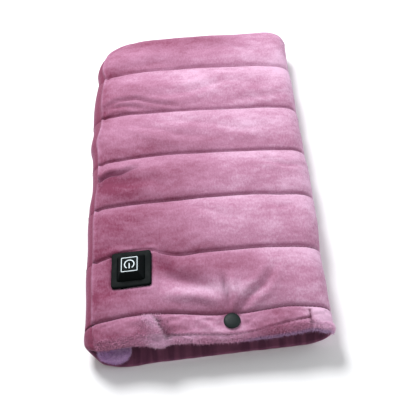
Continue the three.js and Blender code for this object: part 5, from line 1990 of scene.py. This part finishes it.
def settled(piece, tree, values):
    # Runs a tree on a piece with the given inputs and keeps the result as a plain mesh
    modifier = piece.modifiers.new("nodes", "NODES")
    modifier.node_group = tree
    for item in tree.interface.items_tree:
        if item.in_out == "INPUT" and item.name in values:
            modifier[item.identifier] = values[item.name]
    bpy.context.view_layer.update()
    evaluated = piece.evaluated_get(bpy.context.evaluated_depsgraph_get())
    mesh = bpy.data.meshes.new_from_object(evaluated)
    piece.modifiers.remove(modifier)
    old = piece.data
    piece.data = mesh
    bpy.data.meshes.remove(old)
    return piece


def stitched(name, paths, tree):
    points, edges = [], []
    for path in paths:
        start = len(points)
        points += [tuple(p) for p in path]
        edges += [(start + k, start + k + 1) for k in range(len(path) - 1)]
    mesh = bpy.data.meshes.new(name)
    mesh.from_pydata([tuple(np.array(p) * toMetres) for p in points], edges, [])
    piece = bpy.data.objects.new(name, mesh)
    bpy.context.scene.collection.objects.link(piece)
    return settled(piece, tree, {"Thread": finishes["thread"]})


def pileTree():
    # Short tapered fibres, denser where a piece's attribute says so and none on its inner side
    sizes = {"Density": 4.0e6, "Length": 0.0024, "Thickness": 0.00045, "Unruly": 0.8}
    tree = Tree("pile", sizes, "Fibre")
    given = tree.given
    where = tree.add("GeometryNodeInputNamedAttribute", None, {"Name": "pile"})
    within = tree.add("GeometryNodeInputNamedAttribute", None, {"Name": "inside"})
    less, times = {"operation": "SUBTRACT"}, {"operation": "MULTIPLY"}
    outside = tree.add("ShaderNodeMath", less, {0: 1.0, 1: within["Attribute"]})
    share = tree.add("ShaderNodeMath", times, {0: where["Attribute"], 1: outside["Value"]})
    density = tree.add("ShaderNodeMath", times, {0: share["Value"], 1: given["Density"]})
    points = tree.add("GeometryNodeDistributePointsOnFaces", None, {
        "Mesh": given["Geometry"], "Density": density["Value"], "Seed": 8,
    })
    cone = tree.add("GeometryNodeMeshCone", None, {
        "Vertices": 3, "Radius Bottom": 0.5, "Radius Top": 0.0, "Depth": 1.0,
    })
    thickness = given["Thickness"]
    size = tree.add("ShaderNodeCombineXYZ", None, {"X": thickness, "Y": thickness, "Z": given["Length"]})
    limits = {"Min": (-1.0, -1.0, -0.6), "Max": (1.0, 1.0, 0.4), "Seed": 5}
    sway = tree.add("FunctionNodeRandomValue", {"data_type": "FLOAT_VECTOR"}, limits)
    scaled = {"Vector": sway["Value"], "Scale": given["Unruly"]}
    swayed = tree.add("ShaderNodeVectorMath", {"operation": "SCALE"}, scaled)
    leaning = tree.add("ShaderNodeVectorMath", None, {0: points["Normal"], 1: swayed["Vector"]})
    turn = tree.add("FunctionNodeAlignRotationToVector", {"axis": "Z"}, {"Vector": leaning["Vector"]})
    low, high = (0.7, 0.7, 0.5), (1.2, 1.2, 1.25)
    return tree.placed(points["Points"], cone["Mesh"], size["Vector"], turn, low, high, seed=6)


seamRows = [k * grid["channelRows"] * 2 for k in range(pouch["channels"] + 1)]
threads = {"above": 0.25, "aboveHem": 0.3, "hemBack": 0.2, "from": -33.0, "beforeTack": 1.5}
raised = skin + normals * threads["above"]
lipX = np.linspace(threads["from"], tack["x"] - threads["beforeTack"], 90)
lipY = curveThrough(lipX / pouch["halfWidth"], stitching["places"], stitching["path"])
lipZ = hemTopLevel(lipX, lipY) + hemRelief(lipX, lipY)[0] + threads["aboveHem"]
tackY = np.linspace(tack["from"], tack["to"], 12)
tackX = tack["x"] + 0 * tackY
tackZ = rolled(hemTopLevel(tackX, tackY), tackX, tackY, 0.0)
tackZ = tackZ + hemRelief(tackX, tackY)[0] + threads["aboveHem"]
tree = stitchTree()
upperStitches = stitched(
    "upper_stitches",
    [raised[row, upper] for row in seamRows[1:]]
    + [raised[0, upper] - np.array((0, threads["hemBack"], 0))]
    + [np.stack([lipX, lipY, lipZ], axis=-1), np.stack([tackX, tackY, tackZ], axis=-1)],
    tree,
)
lowerStitches = stitched(
    "lower_stitches",
    [besides(raised, rightSeam)[row] for row in seamRows[1:]],
    tree,
)


print("pile of the lip and of the lining's end")
lipPile = bpy.data.objects.new("lip_pile", hemTop.data.copy())
pile = pileTree()
for piece, finish in ((lipPile, "lightenedFibre"), (liningPile, "lightenedLiningFibre")):
    bpy.context.scene.collection.objects.link(piece)
    settled(piece, pile, {"Fibre": finishes[finish]})


parts = (
    (coverTop, "cover_top_panel", "plush"),
    (coverBottom, "cover_bottom_panel", "plush"),
    (hemTop, "mouth_band_top", "plush"),
    (hemBottom, "mouth_band_bottom", "plush"),
    (paddingTop, "wadding_top", "wadding"),
    (paddingBottom, "wadding_bottom", "wadding"),
    (lining, "lining_bag", "lining"),
    (plate, "switch_plate", "black_plastic"),
    (key, "switch_key", "black_plastic"),
    (legend, "legend_light_guide", "light_guide"),
    (cap, "snap_cap", "snap_metal"),
    (socket, "snap_socket", "snap_metal"),
    (stud, "snap_stud", "snap_metal"),
    (backCap, "snap_back_cap", "snap_metal"),
    (grommet, "cable_grommet", "lead_rubber"),
)
for piece, node, slot in parts:
    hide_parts(node)
drawn = {"near": 9.0, "far": 58.0, "low": 10.0, "lowOver": 5.0}


def followSnap(piece):
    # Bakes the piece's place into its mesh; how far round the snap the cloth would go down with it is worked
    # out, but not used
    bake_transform(piece)
    count = len(piece.data.vertices)
    points = np.empty(count * 3, np.float32)
    piece.data.vertices.foreach_get("co", points)
    points = points.reshape(-1, 3) / toMetres
    distance = np.hypot(points[:, 0] - snap["x"], points[:, 1] - snap["y"])
    weight = 1 - smooth((distance - drawn["near"]) / (drawn["far"] - drawn["near"]))
    weight = weight * smooth((points[:, 2] - drawn["low"]) / drawn["lowOver"])


for piece in (coverTop, hemTop, paddingTop, lining, upperStitches, lipPile, liningPile):
    followSnap(piece)
for piece in (coverBottom, hemBottom, paddingBottom, plate, stud, backCap, grommet, lowerStitches):
    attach(piece, "root")
for piece in (key, legend):
    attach(piece, "key")
for piece in (cap, socket):
    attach(piece, "snap_upper")

print("finishes of the packed nodes")
nodeFinishes = {
    "heating_pad": "felt",
    "heating_track": "carbon",
    "track_terminal": "white",
    "thermal_cutoff": "steel",
    "heater_lead": "rubber",
    "supply_lead": "rubber",
    "lead_bush": "rubber",
    "switch_housing": "black",
    "circuit_board": "laminate",
    "tact_switch_body": "black",
    "tact_plunger": "white",
    "status_led": "legend",
    "control_chip": "black",
    "housing_screw": "steel",
}
for name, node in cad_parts.items():
    for start, finish in nodeFinishes.items():
        if name.startswith(start):
            for slot in node.material_slots:
                slot.link = "OBJECT"
                slot.material = finishes[finish]

bpy.context.scene.view_settings.view_transform = "Standard"

# Floor, light and background
stage = {
    "floorSide": 6.0,
    "white": (0.9, 0.9, 0.9),
    "seen": (0.98, 0.98, 0.98),
    "looks": ("Is Camera Ray", "Is Glossy Ray", "Is Transmission Ray"),
    "world": 0.44,
    "target": (0, 0, 0.02),
}
lamps = {
    "key": {"place": (-0.36, 0.66, 1.02), "size": 0.5, "power": 18.0, "colour": (0.97, 0.98, 1.0)},
    "fill": {"place": (1.1, -0.1, 0.75), "size": 0.9, "power": 4.0, "colour": (0.9, 0.95, 1.0)},
}


def seenDirectly(shader):
    # Camera, mirror and glass rays see the pale background, and only the others the studio's light
    camera, mirror, glass = (shader.add("ShaderNodeLightPath", output=ray) for ray in stage["looks"])
    return camera + mirror + glass


def makeStage():
    bpy.ops.mesh.primitive_plane_add(size=stage["floorSide"])
    floor = bpy.context.object
    floor.name = "floor"
    shader = Shader(bpy.data.materials.new("pale_floor"))
    colour = shader.mixColour(seenDirectly(shader), stage["white"], stage["seen"])
    floor.data.materials.append(shader.set(Base_Color=colour, Roughness=0.95, Specular_IOR_Level=0.0))
    world = bpy.data.worlds.new("studio")
    bpy.context.scene.world = world
    sky = Shader(world, "Background")
    sky.set(Color=(1, 1, 1), Strength=stage["world"])
    lighting = Wire(sky, sky.surface.outputs["Background"])
    backdrop = sky.add("ShaderNodeBackground", None, {"Color": (1, 1, 1), "Strength": 1.0})
    chosen = sky.add("ShaderNodeMixShader", None, [seenDirectly(sky), lighting, backdrop])
    sky.feed(sky.tree.nodes["World Output"].inputs["Surface"], chosen)


def areaLight(name, place, size, power, colour):
    data = bpy.data.lights.new(name, "AREA")
    data.shape = "DISK"
    data.size = size
    data.energy = power
    data.color = colour
    lamp = bpy.data.objects.new(name, data)
    lamp.location = place
    towards = Vector(stage["target"]) - Vector(place)
    lamp.rotation_euler = towards.to_track_quat("-Z", "Y").to_euler()
    bpy.context.scene.collection.objects.link(lamp)


print("stage and lights")
makeStage()
for name, lamp in lamps.items():
    areaLight(name, lamp["place"], lamp["size"], lamp["power"], lamp["colour"])
